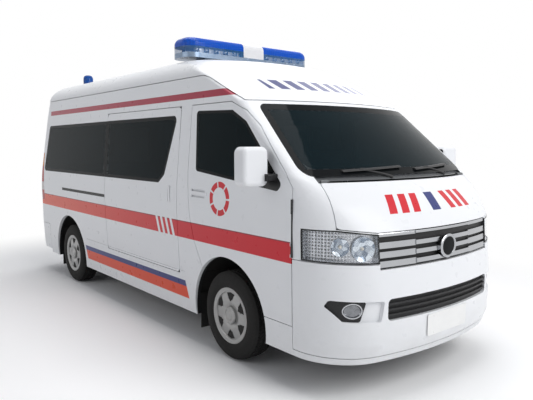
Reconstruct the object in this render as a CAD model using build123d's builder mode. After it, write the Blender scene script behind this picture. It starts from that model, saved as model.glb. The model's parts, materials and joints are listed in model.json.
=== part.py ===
# Box-van ambulance with a high roof, sliding side door and a lift-up tailgate.
# Millimetres. +X is forward, +Y is the driver's side, Z = 0 is the road, X = 0 is mid length.
import math
import os

from build123d import *

# Overall
wheelbase = 3110
front_axle_x = 1445
rear_axle_x = front_axle_x - wheelbase
wall = 50
glass_depth = 6
panel_gap = 5
seat_fit = 0.05
trim_depth = 24
bezel_depth = 16
lamp_wall = 7
lamp_depth = 42
seam_width = 6
seam_depth = 14
crease_z = 568
crease_height = 10
crease_depth = 4

# Wheels
tyre_radius = 328
tyre_width = 195
bead_radius = 190.5
flange_radius = 207
wheel_y = 792
stub_radius = 22
arch_radius = 437
arch_x_front = 1458
arch_x_rear = -1655
arch_z = 333
house_radius = 470
house_wall = 8
house_inner_y = 480

# Floor and frame
floor_top = 560
floor_thickness = 40
rail_y = 425
rail_width = 80
rail_height = 120
jack_x = 600
jack_radius = 36
jack_height = 12
sill_bottom = 245
bumper_bottom = 290

# Joints
kingpin_y = 700
kingpin_radius = 14
pin_radius = 5
knuckle_radius = 9
hinge_half = 25
ear_length = 20
ear_play = 0.2
door_hinge_x = 2184
door_hinge_y = 941
door_hinge_heights = (930, 1200)
bonnet_hinge_x = 2276
bonnet_hinge_y = 760
bonnet_hinge_z = 1351
bonnet_rear_z = 1341
cowl_gap = 10
cowl_depth = 28
cowl_half = 800
leaf_drop = 26
bracket_reach = 44
screen_base_z = 1380
tailgate_hinge_x = -2491
tailgate_hinge_y = 520
tailgate_hinge_z = 2063

# Body plan sections, one row for each height. Columns: height, nose x, half width, nose arc
# radius, nose corner radius, tail x, tail corner radius, share of an inset taken off the height.
sill_row = (245, 2640, 900, 2650, 400, -2640, 120, 0)
lip_row = (360, 2686, 909, 2690, 425, -2686, 140, 0)
bumper_row = (640, 2690, 922, 2695, 430, -2690, 140, 0)
beam_row = (830, 2668, 932, 2680, 430, -2662, 140, 0)
nose_row = (1040, 2652, 940, 2670, 425, -2650, 140, 0)
bonnet_row = (1215, 2537, 937, 2560, 300, -2632, 140, 0)
cowl_row = (1372, 2379, 925, 2400, 90, -2610, 140, 0)
header_row = (1885, 1804, 877, 1825, 90, -2528, 140, 0.3)
gutter_row = (2105, 1400, 856, 1500, 120, -2480, 150, 0.6)
cap_row = (2190, 1230, 828, 1400, 200, -2455, 180, 0.8)
shoulder_row = (2250, 1080, 760, 1250, 280, -2400, 200, 1)
crown_row = (2285, 850, 640, 1050, 280, -2300, 220, 1)
top_row = (2300, 550, 420, 800, 250, -2060, 200, 1)
body_stages = (
    ((sill_row, lip_row, bumper_row, beam_row, nose_row), True),
    ((nose_row, bonnet_row, cowl_row), False),
    ((cowl_row, header_row), True),
    ((header_row, gutter_row), True),
    ((gutter_row, cap_row, shoulder_row, crown_row, top_row), False),
)


def plan_section(row, inset):
    """Closed outline of the body at one height, moved inwards by the inset."""
    z, nose_x, half, nose_r, corner_r, tail_x, tail_r, drop = row
    z = z - inset * drop
    nose_x = nose_x - inset
    half = half - inset
    nose_r = nose_r - inset
    corner_r = max(corner_r - inset, 8)
    tail_x = tail_x + inset
    tail_r = max(tail_r - inset, 8)
    nose_c = nose_x - nose_r
    side_y = half - corner_r
    reach = math.sqrt((nose_r - corner_r) ** 2 - side_y**2)
    corner_x = nose_c + reach
    grow = nose_r / (nose_r - corner_r)
    touch = (nose_c + reach * grow, side_y * grow)
    turn = (math.atan2(side_y, reach) + math.pi / 2) / 2
    bulge = (corner_x + corner_r * math.cos(turn), side_y + corner_r * math.sin(turn))
    cut = tail_r * (1 - math.sqrt(0.5))
    tail_mid = (tail_x + cut, half - cut)
    with BuildSketch(Plane.XY.offset(z)) as outline:
        with BuildLine():
            Line((tail_x, tail_r - half), (tail_x, half - tail_r))
            ThreePointArc((tail_x, half - tail_r), tail_mid, (tail_x + tail_r, half))
            Line((tail_x + tail_r, half), (corner_x, half))
            ThreePointArc((corner_x, half), bulge, touch)
            ThreePointArc(touch, (nose_x, 0), (touch[0], -touch[1]))
            ThreePointArc((touch[0], -touch[1]), (bulge[0], -bulge[1]), (corner_x, -half))
            Line((corner_x, -half), (tail_x + tail_r, -half))
            ThreePointArc(
                (tail_x + tail_r, -half), (tail_mid[0], -tail_mid[1]), (tail_x, tail_r - half)
            )
        make_face()
    return outline.sketch


def envelope(inset, first=0, last=4):
    """The body between two of its stages as one solid, moved inwards by the inset."""
    with BuildPart() as whole:
        for rows, straight in body_stages[first : last + 1]:
            with BuildPart(mode=Mode.PRIVATE) as stage:
                for row in rows:
                    add(plan_section(row, inset))
                loft(ruled=straight)
            add(stage.part)
    return whole.part


def side_block(points, y_from, y_to, radius=0):
    """A block whose outline is drawn from the side, between two widths."""
    with BuildPart() as block:
        with BuildSketch(Plane.XZ.offset(-y_from)):
            with BuildLine():
                Polyline(*points, close=True)
            make_face()
            if radius:
                fillet(vertices(), radius)
        extrude(amount=-(y_to - y_from))
    return block.part


def face_block(points, x_from, x_to, radius=0):
    """A block whose outline is drawn from the front, between two lengths."""
    with BuildPart() as block:
        with BuildSketch(Plane.YZ.offset(x_from)):
            with BuildLine():
                Polyline(*points, close=True)
            make_face()
            if radius:
                fillet(vertices(), radius)
        extrude(amount=x_to - x_from)
    return block.part


def span_box(x_from, x_to, y_from, y_to, z_from, z_to):
    """A plain box between two corners."""
    with BuildPart() as block:
        with Locations(((x_from + x_to) / 2, (y_from + y_to) / 2, (z_from + z_to) / 2)):
            Box(x_to - x_from, y_to - y_from, z_to - z_from)
    return block.part


def cross_rod(x, z, radius, y_from, y_to):
    """A round bar along the width."""
    with BuildPart() as rod:
        with BuildSketch(Plane.XZ.offset(-y_from)):
            with Locations((x, z)):
                Circle(radius)
        extrude(amount=-(y_to - y_from))
    return rod.part


def upright_rod(x, y, radius, z_from, z_to):
    """A round bar standing up."""
    with BuildPart() as rod:
        with BuildSketch(Plane.XY.offset(z_from)):
            with Locations((x, y)):
                Circle(radius)
        extrude(amount=z_to - z_from)
    return rod.part


def common(*solids):
    with BuildPart() as kept:
        add(solids[0])
        for solid in solids[1:]:
            add(solid, mode=Mode.INTERSECT)
    return kept.part


def without(solid, *cuts):
    with BuildPart() as kept:
        add(solid)
        for cut in cuts:
            add(cut, mode=Mode.SUBTRACT)
    return kept.part


def joined(*solids):
    with BuildPart() as kept:
        for solid in solids:
            add(solid)
    return kept.part


def other_side(solid):
    with BuildPart() as kept:
        mirror(solid, about=Plane.XZ)
    return kept.part


def grown(points, distance):
    """The same outline moved outwards, or inwards where the distance is negative."""
    with BuildSketch() as area:
        with BuildLine():
            Polyline(*points, close=True)
        make_face()
        offset(amount=distance, kind=Kind.INTERSECTION)
    wire = area.sketch.faces()[0].outer_wire()
    return [(edge.position_at(0).X, edge.position_at(0).Y) for edge in wire.order_edges()]


# Outlines seen from the side: x, z
door_outline = [
    (962, 1880), (1480, 1880), (1650, 1812), (1800, 1700), (2110, 1400), (2178, 1310),
    (2180, 1000), (2160, 437), (1500, 437), (1150, 640), (1050, 838), (1000, 1020), (962, 1380),
]
door_window = [(1032, 1836), (1500, 1822), (1668, 1738), (2080, 1328), (2040, 1284), (1072, 1380)]
slide_rear_x = -600
slide_outline = [(slide_rear_x, 545), (800, 545), (800, 1878), (slide_rear_x, 1878)]
slide_window = [(-800, 1262), (500, 1262), (590, 1330), (752, 1812), (-800, 1812)]
quarter_window = [(-2420, 1262), (-400, 1262), (-400, 1812), (-2300, 1806)]
cap_outline = [
    (-2800, 2105), (1090, 2105), (1160, 2085), (1590, 1890), (1900, 1890), (1900, 2500), (-2800, 2500),
]
bumper_side = [(2161, 200), (2800, 200), (2800, 1000), (2189, 1000)]
# Outlines seen from the front or back: y, z
screen_outline = [(-868, screen_base_z), (868, screen_base_z), (786, 1862), (-786, 1862)]
bonnet_outline = [
    (-600, 1052), (600, 1052), (818, 1080), (792, bonnet_rear_z), (-792, bonnet_rear_z), (-818, 1080),
]
lamp_outline = [(596, 864), (1000, 880), (1000, 1074), (820, 1072), (596, 1042)]
bumper_face = [
    (-1000, bumper_bottom), (1000, bumper_bottom), (1000, 874), (596, 858), (596, 826),
    (-596, 826), (-596, 858), (-1000, 874),
]
tailgate_outline = [(-770, 650), (770, 650), (745, 2060), (-745, 2060)]
back_window = [(-640, 1300), (640, 1300), (610, 1860), (-610, 1860)]

out_y = 1100
in_y = 600
lamp_end_x = 2255
pillar_x = 1640
pillar_half = 60
nose_box = span_box(2100, 2800, -out_y, out_y, 0, 2000)
tail_box = span_box(-2800, -2250, -out_y, out_y, 0, 2400)
left_box = span_box(-2800, 2800, 0, out_y, 0, 2400)

outer = envelope(0)
inner = envelope(wall)
body_shell = without(envelope(0, 0, 3), inner)
left_shell = common(body_shell, left_box)
nose_shell = common(body_shell, nose_box)
tail_shell = common(body_shell, tail_box)
pane_outer = envelope(0, 1, 2)
pane_bed = envelope(glass_depth, 1, 2)
nose_outer = common(envelope(0, 0, 1), nose_box)
nose_bed = common(envelope(glass_depth, 0, 1), nose_box)
trim_bed = common(envelope(trim_depth, 0, 1), nose_box)
seam_bed = envelope(seam_depth, 2, 3)
cowl_bed = common(envelope(cowl_depth, 1, 2), nose_box)
nose_inner = common(envelope(wall, 0, 1), nose_box)
lamp_back = common(envelope(lamp_depth, 0, 1), nose_box)


def pane_pair(block):
    """A pane that lies in a rebate of its panel, and the cut that makes the rebate."""
    rebate = without(block, pane_bed)
    return common(pane_outer, rebate), rebate


arches = joined(
    cross_rod(arch_x_front, arch_z, arch_radius, -out_y, out_y),
    cross_rod(arch_x_rear, arch_z, arch_radius, -out_y, out_y),
)
left_arches = common(arches, left_box)
door_cut = side_block(grown(door_outline, panel_gap), in_y, out_y)
screen_pane, screen_rebate = pane_pair(face_block(screen_outline, 1300, 2700, 60))
screen_hole = face_block(grown(screen_outline, -45), 1300, 2700, 60)
ahead_of_split = span_box(slide_rear_x, 2800, 0, out_y, 1000, 2000)
behind_split = span_box(-2800, slide_rear_x - panel_gap, 0, out_y, 1000, 2000)
slide_pane, slide_rebate = pane_pair(common(side_block(slide_window, in_y, out_y, 45), ahead_of_split))
slide_hole = common(
    side_block(grown(slide_window, -28), in_y, out_y, 40),
    span_box(slide_rear_x + pillar_half, 2800, 0, out_y, 1000, 2000),
)
quarter_pane, quarter_rebate = pane_pair(common(side_block(quarter_window, in_y, out_y, 45), behind_split))
quarter_hole = common(
    side_block(grown(quarter_window, -28), in_y, out_y, 40),
    span_box(-2800, slide_rear_x - pillar_half, 0, out_y, 1000, 2000),
)
back_pane, back_rebate = pane_pair(face_block(back_window, -2800, -2300, 60))
back_hole = face_block(grown(back_window, -30), -2800, -2300, 50)
door_pane, door_rebate = pane_pair(side_block(door_window, in_y, out_y, 30))
door_hole = side_block(grown(door_window, -22), in_y, out_y, 8)
bonnet_top = span_box(2100, 2800, -700, 700, bonnet_rear_z, bonnet_rear_z + cowl_gap)
bonnet_cut = joined(face_block(grown(bonnet_outline, panel_gap), 2100, 2800), bonnet_top)
cowl_cut = without(span_box(2100, 2800, 0, cowl_half, bonnet_rear_z, screen_base_z), cowl_bed)
lamp_block = common(
    face_block(lamp_outline, 2150, 2800), span_box(lamp_end_x, 2800, 500, 1000, 800, 1100)
)
lamp_blocks = joined(lamp_block, other_side(lamp_block))
lamp_space = common(
    face_block(grown(lamp_outline, -lamp_wall), 2150, 2800),
    span_box(lamp_end_x + lamp_wall, 2800, 500, 1000, 800, 1100),
)
lamp_spaces = joined(lamp_space, other_side(lamp_space))
grille_box = span_box(2300, 2800, -596, 596, 832, 1046)
grille_cut = span_box(2300, 2800, -596, 596, 820, 1049)
bumper_block = common(side_block(bumper_side, -out_y, out_y), face_block(bumper_face, 2100, 2800))
bumper_cut = common(
    side_block(grown(bumper_side, panel_gap), -out_y, out_y),
    face_block(grown(bumper_face, panel_gap), 2100, 2900),
)
tailgate_cut = face_block(grown(tailgate_outline, panel_gap), -2800, -2300)
rear_bumper_block = span_box(-2800, -2335, -1000, 1000, bumper_bottom, 600)
rear_bumper_cut = span_box(-2800, -2330, -1000, 1000, 200, 605)
cap_block = side_block(cap_outline, -out_y, out_y)
cap_seam = without(side_block(grown(cap_outline, seam_width), 0, out_y), cap_block, seam_bed)
slide_cut = side_block(grown(slide_outline, panel_gap), in_y, out_y)
side_zone = joined(
    span_box(-2800, 1030, 0, out_y, 200, 2200),
    span_box(1000, pillar_x, 0, out_y, 1700, 2200),
    span_box(1000, 1170, 0, out_y, 200, 900),
)

# Hinges: ears and pin on the body, knuckle on the leaf
door_ears = []
door_knuckles = []
for z in door_hinge_heights:
    door_ears.append((z - hinge_half - ear_length, z - hinge_half - ear_play))
    door_ears.append((z + hinge_half + ear_play, z + hinge_half + ear_length))
    door_knuckles.append((z - hinge_half, z + hinge_half))
door_pin_low = door_hinge_heights[0] - hinge_half - ear_length
door_pin_high = door_hinge_heights[1] + hinge_half + ear_length


def door_rod(radius, low, high):
    return upright_rod(door_hinge_x, door_hinge_y, radius, low, high)


# Body shell: roof cap, sides and front end
roof_shell = without(envelope(0, 3, 4), inner)
with BuildPart() as roof_cap:
    add(roof_shell)
    add(cap_block, mode=Mode.INTERSECT)

crease_box = span_box(-1150, 880, 0, out_y, crease_z - crease_height / 2, crease_z + crease_height / 2)
crease = without(crease_box, envelope(crease_depth, 0, 0))
left_body = without(left_shell, cap_block, cap_seam, left_arches, door_cut, tailgate_cut, rear_bumper_cut)
left_side = common(left_body, side_zone)
tail_lamp_box = span_box(-2800, -2440, 785, out_y, 900, 1480)
tail_skin = common(without(envelope(0, 0, 2), envelope(trim_depth, 0, 2)), tail_lamp_box)


def tailgate_rod(radius, y_from, y_to):
    return cross_rod(tailgate_hinge_x, tailgate_hinge_z, radius, y_from, y_to)


tailgate_low = tailgate_hinge_y - hinge_half
tailgate_high = tailgate_hinge_y + hinge_half
left_panel = joined(
    without(left_side, tail_skin, tailgate_rod(knuckle_radius + 1, tailgate_low, tailgate_high), crease),
    tailgate_rod(knuckle_radius, tailgate_low - ear_length, tailgate_low - ear_play),
    tailgate_rod(knuckle_radius, tailgate_high, tailgate_high + ear_length - ear_play),
    tailgate_rod(pin_radius, tailgate_low - ear_length, tailgate_high + ear_length),
)
rail_z = 1072
rail_box = span_box(-1806, -609, 700, out_y, rail_z - 15, rail_z + 15)
belt_bed = envelope(trim_depth, 1, 1)
rail_skin = common(without(envelope(0, 1, 1), belt_bed), rail_box)

with BuildPart() as side_panel_left:
    add(without(left_panel, slide_rebate, slide_hole, quarter_rebate, quarter_hole))
with BuildPart() as side_panel_right:
    add(other_side(without(left_panel, slide_cut, quarter_rebate, quarter_hole, rail_skin)))
with BuildPart() as slide_rail:
    add(other_side(rail_skin))
with BuildPart() as tail_lamps:
    add(tail_skin)
    add(other_side(tail_skin))

front_half = without(
    left_body, side_zone, bonnet_cut, cowl_cut, lamp_block, grille_cut, bumper_cut, screen_rebate, screen_hole
)
for low, high in door_knuckles:
    front_half = without(front_half, door_rod(knuckle_radius + 1, low - 0.1, high + 0.1))
door_ear_rods = [door_rod(knuckle_radius, *ear) for ear in door_ears]
front_half = joined(front_half, door_rod(pin_radius, door_pin_low, door_pin_high), *door_ear_rods)


def bonnet_rod(radius, y_from, y_to):
    return cross_rod(bonnet_hinge_x, bonnet_hinge_z, radius, y_from, y_to)


bonnet_ear_end = bonnet_hinge_y - hinge_half
bonnet_ear_start = bonnet_ear_end - ear_length
bonnet_turn_end = bonnet_hinge_y + hinge_half
bonnet_bracket = span_box(
    bonnet_hinge_x - bracket_reach, bonnet_hinge_x, bonnet_ear_start, bonnet_ear_end - ear_play,
    bonnet_hinge_z - knuckle_radius, bonnet_hinge_z + knuckle_radius,
)
front_half = joined(
    without(front_half, bonnet_rod(knuckle_radius + 1, bonnet_ear_end - 0.1, bonnet_turn_end + 0.1)),
    bonnet_bracket,
    bonnet_rod(knuckle_radius, bonnet_ear_start, bonnet_ear_end - ear_play),
    bonnet_rod(pin_radius, bonnet_ear_start, bonnet_turn_end),
)
with BuildPart() as front_frame:
    add(front_half)
    add(other_side(front_half))

# Doors: a front door each side, the sliding door and their panes
handle_z = 1210
handle_x = 1118
handle_length = 210
with BuildPart() as door_left:
    door_slab = common(left_shell, side_block(door_outline, in_y, out_y))
    add(without(door_slab, left_arches, door_rebate, door_hole))
    for ear in door_ears:
        add(door_rod(knuckle_radius + 1, *ear), mode=Mode.SUBTRACT)
    for low, high in door_knuckles:
        add(door_rod(knuckle_radius, low, high))
    add(door_rod(pin_radius + seat_fit, door_pin_low - 1, door_pin_high + 1), mode=Mode.SUBTRACT)
    with Locations((handle_x, 938, handle_z)):
        Box(handle_length - 30, 24, 60, mode=Mode.SUBTRACT)
        Box(handle_length, 12, 30)
sail_zone = side_block([(1900, 1200), (2100, 1200), (2100, 1400), (1900, 1400)], 0, out_y)
with BuildPart() as door_glass_left:
    add(without(door_pane, sail_zone))

mirror_x = 1945
mirror_y = 1062
mirror_z = 1440
mirror_height = 250
mirror_width = 200
mirror_depth = 105
with BuildPart() as mirror_left:
    with Locations((mirror_x, mirror_y, mirror_z)):
        Box(mirror_depth, mirror_width, mirror_height)
    fillet(edges().filter_by(Axis.X), 45)
    fillet(faces().sort_by(Axis.X)[-1].edges(), 30)
    fillet(faces().sort_by(Axis.X)[0].edges(), 8)
    with BuildSketch(Plane.XZ.offset(-880)):
        with Locations((2000, 1372)):
            RectangleRounded(70, 46, 12)
    extrude(amount=-(mirror_y - 60 - 880))
    add(without(envelope(0, 1, 2), span_box(-2800, 1800, -out_y, out_y, 1000, 2000)), mode=Mode.SUBTRACT)
    add(common(door_pane, sail_zone))
with BuildPart() as door_right:
    add(other_side(door_left.part))
with BuildPart() as door_glass_right:
    add(other_side(door_glass_left.part))
with BuildPart() as mirror_right:
    add(other_side(mirror_left.part))

slide_body = without(
    common(left_shell, side_block(slide_outline, in_y, out_y, 41)), slide_rebate, slide_hole, crease
)
with BuildPart() as slide_leaf:
    add(slide_body)
    with Locations((678, 934, 1180)):
        Box(44, 40, 130, mode=Mode.SUBTRACT)
        Box(24, 14, 130)
    for x in (-450, 650):
        add(span_box(x - 40, x + 40, 880, 905, 545 - panel_gap, 560))
with BuildPart() as sliding_door:
    add(other_side(slide_leaf.part))
with BuildPart() as side_glass:
    for pane in (slide_pane, quarter_pane):
        add(pane)
        add(other_side(pane))
with BuildPart() as windscreen:
    add(screen_pane)

# Nose: bonnet, bumper, grille and lamps
with BuildPart() as bonnet:
    add(without(nose_outer, trim_bed))
    add(face_block(bonnet_outline, 2100, 2800, 20), mode=Mode.INTERSECT)
    for side in (1, -1):
        knuckle_span = sorted((side * bonnet_ear_end, side * bonnet_turn_end))
        ear_span = sorted((side * (bonnet_ear_start - 1), side * bonnet_ear_end))
        bore_span = sorted((side * (bonnet_ear_start - 1), side * (bonnet_turn_end + 1)))
        add(bonnet_rod(knuckle_radius + panel_gap, *ear_span), mode=Mode.SUBTRACT)
        add(bonnet_rod(knuckle_radius, *knuckle_span))
        leaf_x = (bonnet_hinge_x - knuckle_radius, bonnet_hinge_x + knuckle_radius)
        add(span_box(*leaf_x, *knuckle_span, bonnet_hinge_z - leaf_drop, bonnet_hinge_z))
        add(bonnet_rod(pin_radius + seat_fit, *bore_span), mode=Mode.SUBTRACT)

lower_grille_box = face_block([(-553, 511), (553, 511), (553, 648), (-553, 648)], 2300, 2800, 30)
fog_y = 752
fog_z = 586
fog_radius = 48
fog_play = 0.7
fog_outline = [(684, 645), (862, 652), (874, 612), (806, 522), (716, 517)]
fog_pocket = face_block([(578, 640), (862, 652), (874, 612), (806, 522), (600, 512)], 2250, 2800, 15)
fog_trim = face_block(grown(fog_outline, -fog_play), 2250, 2800, 15)
fog_pockets = joined(fog_pocket, other_side(fog_pocket))
fog_trims = joined(fog_trim, other_side(fog_trim))
bezel_bed = common(envelope(bezel_depth, 0, 0), nose_box)
with BuildPart() as fog_hole:
    for y in (-fog_y, fog_y):
        with BuildSketch(Plane.YZ.offset(2300)):
            with Locations((y, fog_z)):
                Circle(fog_radius)
        extrude(amount=400)
plate_x = 2683
with BuildPart() as front_bumper:
    add(without(common(nose_shell, bumper_block), lower_grille_box, fog_hole.part))
    add(without(fog_pockets, trim_bed), mode=Mode.SUBTRACT)
    add(span_box(plate_x, 2800, -232, 232, 352, 506), mode=Mode.SUBTRACT)
with BuildPart() as fog_lamps:
    add(common(without(bezel_bed, nose_inner), fog_hole.part))
with BuildPart() as lower_grille:
    add(common(without(trim_bed, nose_inner), lower_grille_box))
    for z in (545, 579, 613):
        slat = span_box(2300, 2800, -600, 600, z - 6, z + 6)
        add(common(without(nose_bed, trim_bed), lower_grille_box, slat))
with BuildPart() as headlamp_lenses:
    add(common(without(nose_outer, nose_bed), lamp_blocks))
with BuildPart() as headlamp_bowls:
    add(common(without(nose_bed, nose_inner), lamp_blocks))
    add(common(without(envelope(0, 0, 1), lamp_back), lamp_spaces), mode=Mode.SUBTRACT)
with BuildPart() as grille:
    add(common(without(trim_bed, nose_inner), grille_box))
    add(lower_grille.part)
    fog_surrounds = common(without(bezel_bed, trim_bed), fog_trims).moved(Location((fog_play, 0, 0)))
    add(without(fog_surrounds, fog_hole.part))
bar_step_y = 300
bar_step = 5
with BuildPart() as grille_bars:
    for low, high in ((844, 872), (901, 929), (958, 986), (1030, 1046)):
        middle = span_box(2300, 2800, -bar_step_y, bar_step_y, low, high)
        add(common(without(nose_outer, trim_bed), grille_box, middle))
        for side in (1, -1):
            end_y = sorted((side * bar_step_y, side * 600))
            end = span_box(2300, 2800, *end_y, low - bar_step, high + bar_step)
            add(common(without(nose_bed, trim_bed), grille_box, end))
    with BuildSketch(Plane.YZ.offset(2560)):
        with Locations((0, 917)):
            Ellipse(84, 58)
    extrude(amount=2676 - 2560)
    add(trim_bed, mode=Mode.SUBTRACT)

# Back: tailgate and bumper
pull_half = 300
pull_z = (1120, 1185)
with BuildPart() as tailgate:
    add(without(common(tail_shell, face_block(tailgate_outline, -2800, -2250, 40)), back_rebate, back_hole))
    add(without(span_box(-2800, -2500, -pull_half, pull_half, *pull_z), belt_bed), mode=Mode.SUBTRACT)
    for side in (1, -1):
        low, high = sorted((side * tailgate_low, side * tailgate_high))
        for end in (low - ear_length, high):
            add(tailgate_rod(knuckle_radius + 1, end, end + ear_length), mode=Mode.SUBTRACT)
        add(tailgate_rod(knuckle_radius, low, high))
        add(tailgate_rod(pin_radius + seat_fit, low - 1, high + 1), mode=Mode.SUBTRACT)
with BuildPart() as tailgate_glass:
    add(back_pane)
with BuildPart() as rear_bumper:
    add(common(tail_shell, rear_bumper_block))

# Floor, wheel houses and frame
wheel_spots = ((arch_x_front, 1), (arch_x_front, -1), (arch_x_rear, 1), (arch_x_rear, -1))
low_inner = envelope(wall, 0, 0)
with BuildPart() as house_space:
    for x, side in wheel_spots:
        house_y = sorted((side * (house_inner_y - house_wall), side * out_y))
        add(cross_rod(x, arch_z, house_radius + house_wall, *house_y))
platform_x = (985, 1800)
platform_y = 465
platform_top = 825
step_x = (1908, 2140)
with BuildPart() as floor_pan:
    add(common(low_inner, span_box(-2640, 2330, -out_y, out_y, floor_top - floor_thickness, floor_top)))
    add(house_space.part, mode=Mode.SUBTRACT)
    add(span_box(platform_x[0], platform_x[1], -platform_y, platform_y, 400, 700), mode=Mode.SUBTRACT)
    for side in (1, -1):
        step = span_box(*step_x, *sorted((side * 600, side * out_y)), 395, 435)
        add(common(low_inner, step))
        add(span_box(*step_x, *sorted((side * 600, side * 620)), 395, floor_top))
with BuildPart() as wheel_houses:
    for x, side in wheel_spots:
        house_y = sorted((side * (house_inner_y - house_wall), side * out_y))
        space_y = sorted((side * house_inner_y, side * out_y))
        with BuildPart(mode=Mode.PRIVATE) as house:
            add(cross_rod(x, arch_z, house_radius + house_wall, *house_y))
            add(cross_rod(x, arch_z, house_radius, *space_y), mode=Mode.SUBTRACT)
            below_floor = span_box(x - 600, x + 600, -out_y, out_y, -300, floor_top - floor_thickness)
            add(below_floor, mode=Mode.SUBTRACT)
            add(low_inner, mode=Mode.INTERSECT)
        add(house.part)
platform_wall = 12
platform_hollow = span_box(
    platform_x[0] + platform_wall, platform_x[1] - platform_wall,
    platform_wall - platform_y, platform_y - platform_wall, 400, platform_top - platform_wall,
)
with BuildPart() as seat_platform:
    add(span_box(*platform_x, -platform_y, platform_y, floor_top - floor_thickness, platform_top))
    add(platform_hollow, mode=Mode.SUBTRACT)
    add(wheel_houses.part)
rail_top = floor_top - floor_thickness
with BuildPart() as chassis_frame:
    for side in (1, -1):
        edges_y = sorted((side * (rail_y - rail_width / 2), side * (rail_y + rail_width / 2)))
        add(common(low_inner, span_box(-2800, 2800, *edges_y, rail_top - rail_height, rail_top)))
    for x in (-2440, -1150, -300, 450, 2300):
        add(span_box(x - 40, x + 40, -rail_y, rail_y, rail_top - 50, rail_top))
    for x in (-jack_x, jack_x):
        for y in (-rail_y, rail_y):
            add(upright_rod(x, y, jack_radius, rail_top - rail_height - jack_height, rail_top - rail_height))

# Wheels: tyre, rim with six spokes, stub axles
with BuildPart() as tyre:
    with BuildSketch(Plane.XY):
        with BuildLine():
            half = tyre_width / 2
            Polyline(
                (bead_radius, 22 - half), (bead_radius, half - 22), (flange_radius, half - 12), (262, half),
                (300, half - 6), (tyre_radius - 5, half - 24), (tyre_radius, half - 50),
                (tyre_radius, 50 - half), (tyre_radius - 5, 24 - half), (300, 6 - half), (262, -half),
                (flange_radius, 12 - half), close=True,
            )
        make_face()
    revolve(axis=Axis.Y)
with BuildPart() as rim:
    with BuildSketch(Plane.XY):
        with BuildLine():
            half = tyre_width / 2
            Polyline(
                (bead_radius, 22 - half), (bead_radius, half - 22), (flange_radius, half - 12),
                (flange_radius, half - 7), (176, half - 12), (168, half - 30), (168, 22 - half), close=True,
            )
        make_face()
    revolve(axis=Axis.Y)
    with BuildSketch(Plane.XY):
        with BuildLine():
            bore = stub_radius + seat_fit
            Polyline(
                (bore, half - 75), (bore, half - 22), (70, half - 22), (100, half - 14),
                (176, half - 20), (176, half - 40), (80, half - 55), (60, half - 75), close=True,
            )
        make_face()
    revolve(axis=Axis.Y)
    for i in range(6):
        angle = math.radians(60 * i + 30)
        spot = (138 * math.cos(angle), 138 * math.sin(angle))
        with BuildSketch(Plane.XZ.offset(-half)):
            with Locations(Location((spot[0], spot[1], 0), (0, 0, math.degrees(angle) - 90))):
                Trapezoid(86, 40, 62, rotation=180)
        extrude(amount=90, mode=Mode.SUBTRACT)
    with BuildSketch(Plane.XZ.offset(-(half - 22))):
        Circle(62)
    extrude(amount=-14)


wheels = {}
for end, x in (("front", front_axle_x), ("rear", rear_axle_x)):
    for kind, piece in (("tyre", tyre.part), ("rim", rim.part)):
        with BuildPart() as placed:
            with Locations((x, wheel_y, tyre_radius)):
                add(piece)
        wheels[kind + "_" + end + "_left"] = placed.part
        wheels[kind + "_" + end + "_right"] = other_side(placed.part)

stub_end = wheel_y + tyre_width / 2 - 24
knuckle_half = 62
arm_gap = 0.3
with BuildPart() as knuckle_left:
    knuckle_z = (tyre_radius - knuckle_half, tyre_radius + knuckle_half)
    add(span_box(front_axle_x - 34, front_axle_x + 34, kingpin_y - 30, kingpin_y + 30, *knuckle_z))
    add(cross_rod(front_axle_x, tyre_radius, stub_radius, kingpin_y, stub_end))
    with BuildSketch(Plane.XY):
        with Locations((front_axle_x, kingpin_y)):
            Circle(kingpin_radius + seat_fit)
    extrude(amount=800, mode=Mode.SUBTRACT)
with BuildPart() as knuckle_right:
    add(other_side(knuckle_left.part))
arm_thick = 26
arm_spread = 160
with BuildPart() as front_suspension:
    for side in (1, -1):
        lower_z = tyre_radius - knuckle_half - arm_gap - arm_thick
        upper_z = tyre_radius + knuckle_half + arm_gap
        for z, root_y in ((lower_z, 380), (upper_z, rail_y + rail_width / 2)):
            with BuildSketch(Plane.XY.offset(z)):
                with BuildLine():
                    tip_y = side * (kingpin_y + 20)
                    Polyline(
                        (front_axle_x - arm_spread, side * root_y), (front_axle_x + arm_spread, side * root_y),
                        (front_axle_x + 32, tip_y), (front_axle_x - 32, tip_y), close=True,
                    )
                make_face()
            extrude(amount=arm_thick)
        add(upright_rod(front_axle_x, side * kingpin_y, kingpin_radius, lower_z + 6, upper_z + arm_thick - 6))
        upright_y = sorted((side * 380, side * 440))
        upright_x = (front_axle_x - arm_spread, front_axle_x + arm_spread)
        add(span_box(*upright_x, *upright_y, 240, rail_top - rail_height))
    add(span_box(front_axle_x - arm_spread, front_axle_x + arm_spread, -384, 384, 240, 290))
axle_radius = 42
with BuildPart() as rear_axle:
    add(cross_rod(rear_axle_x, tyre_radius, axle_radius, 30 - wheel_y, wheel_y - 30))
    add(cross_rod(rear_axle_x, tyre_radius, stub_radius, -stub_end, stub_end))
    with Locations((rear_axle_x, 0, tyre_radius)):
        Sphere(140)
spring_y = 530
spring_half = 32
spring_reach = 620
spring_thick = 28
spring_eye_z = 450
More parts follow.
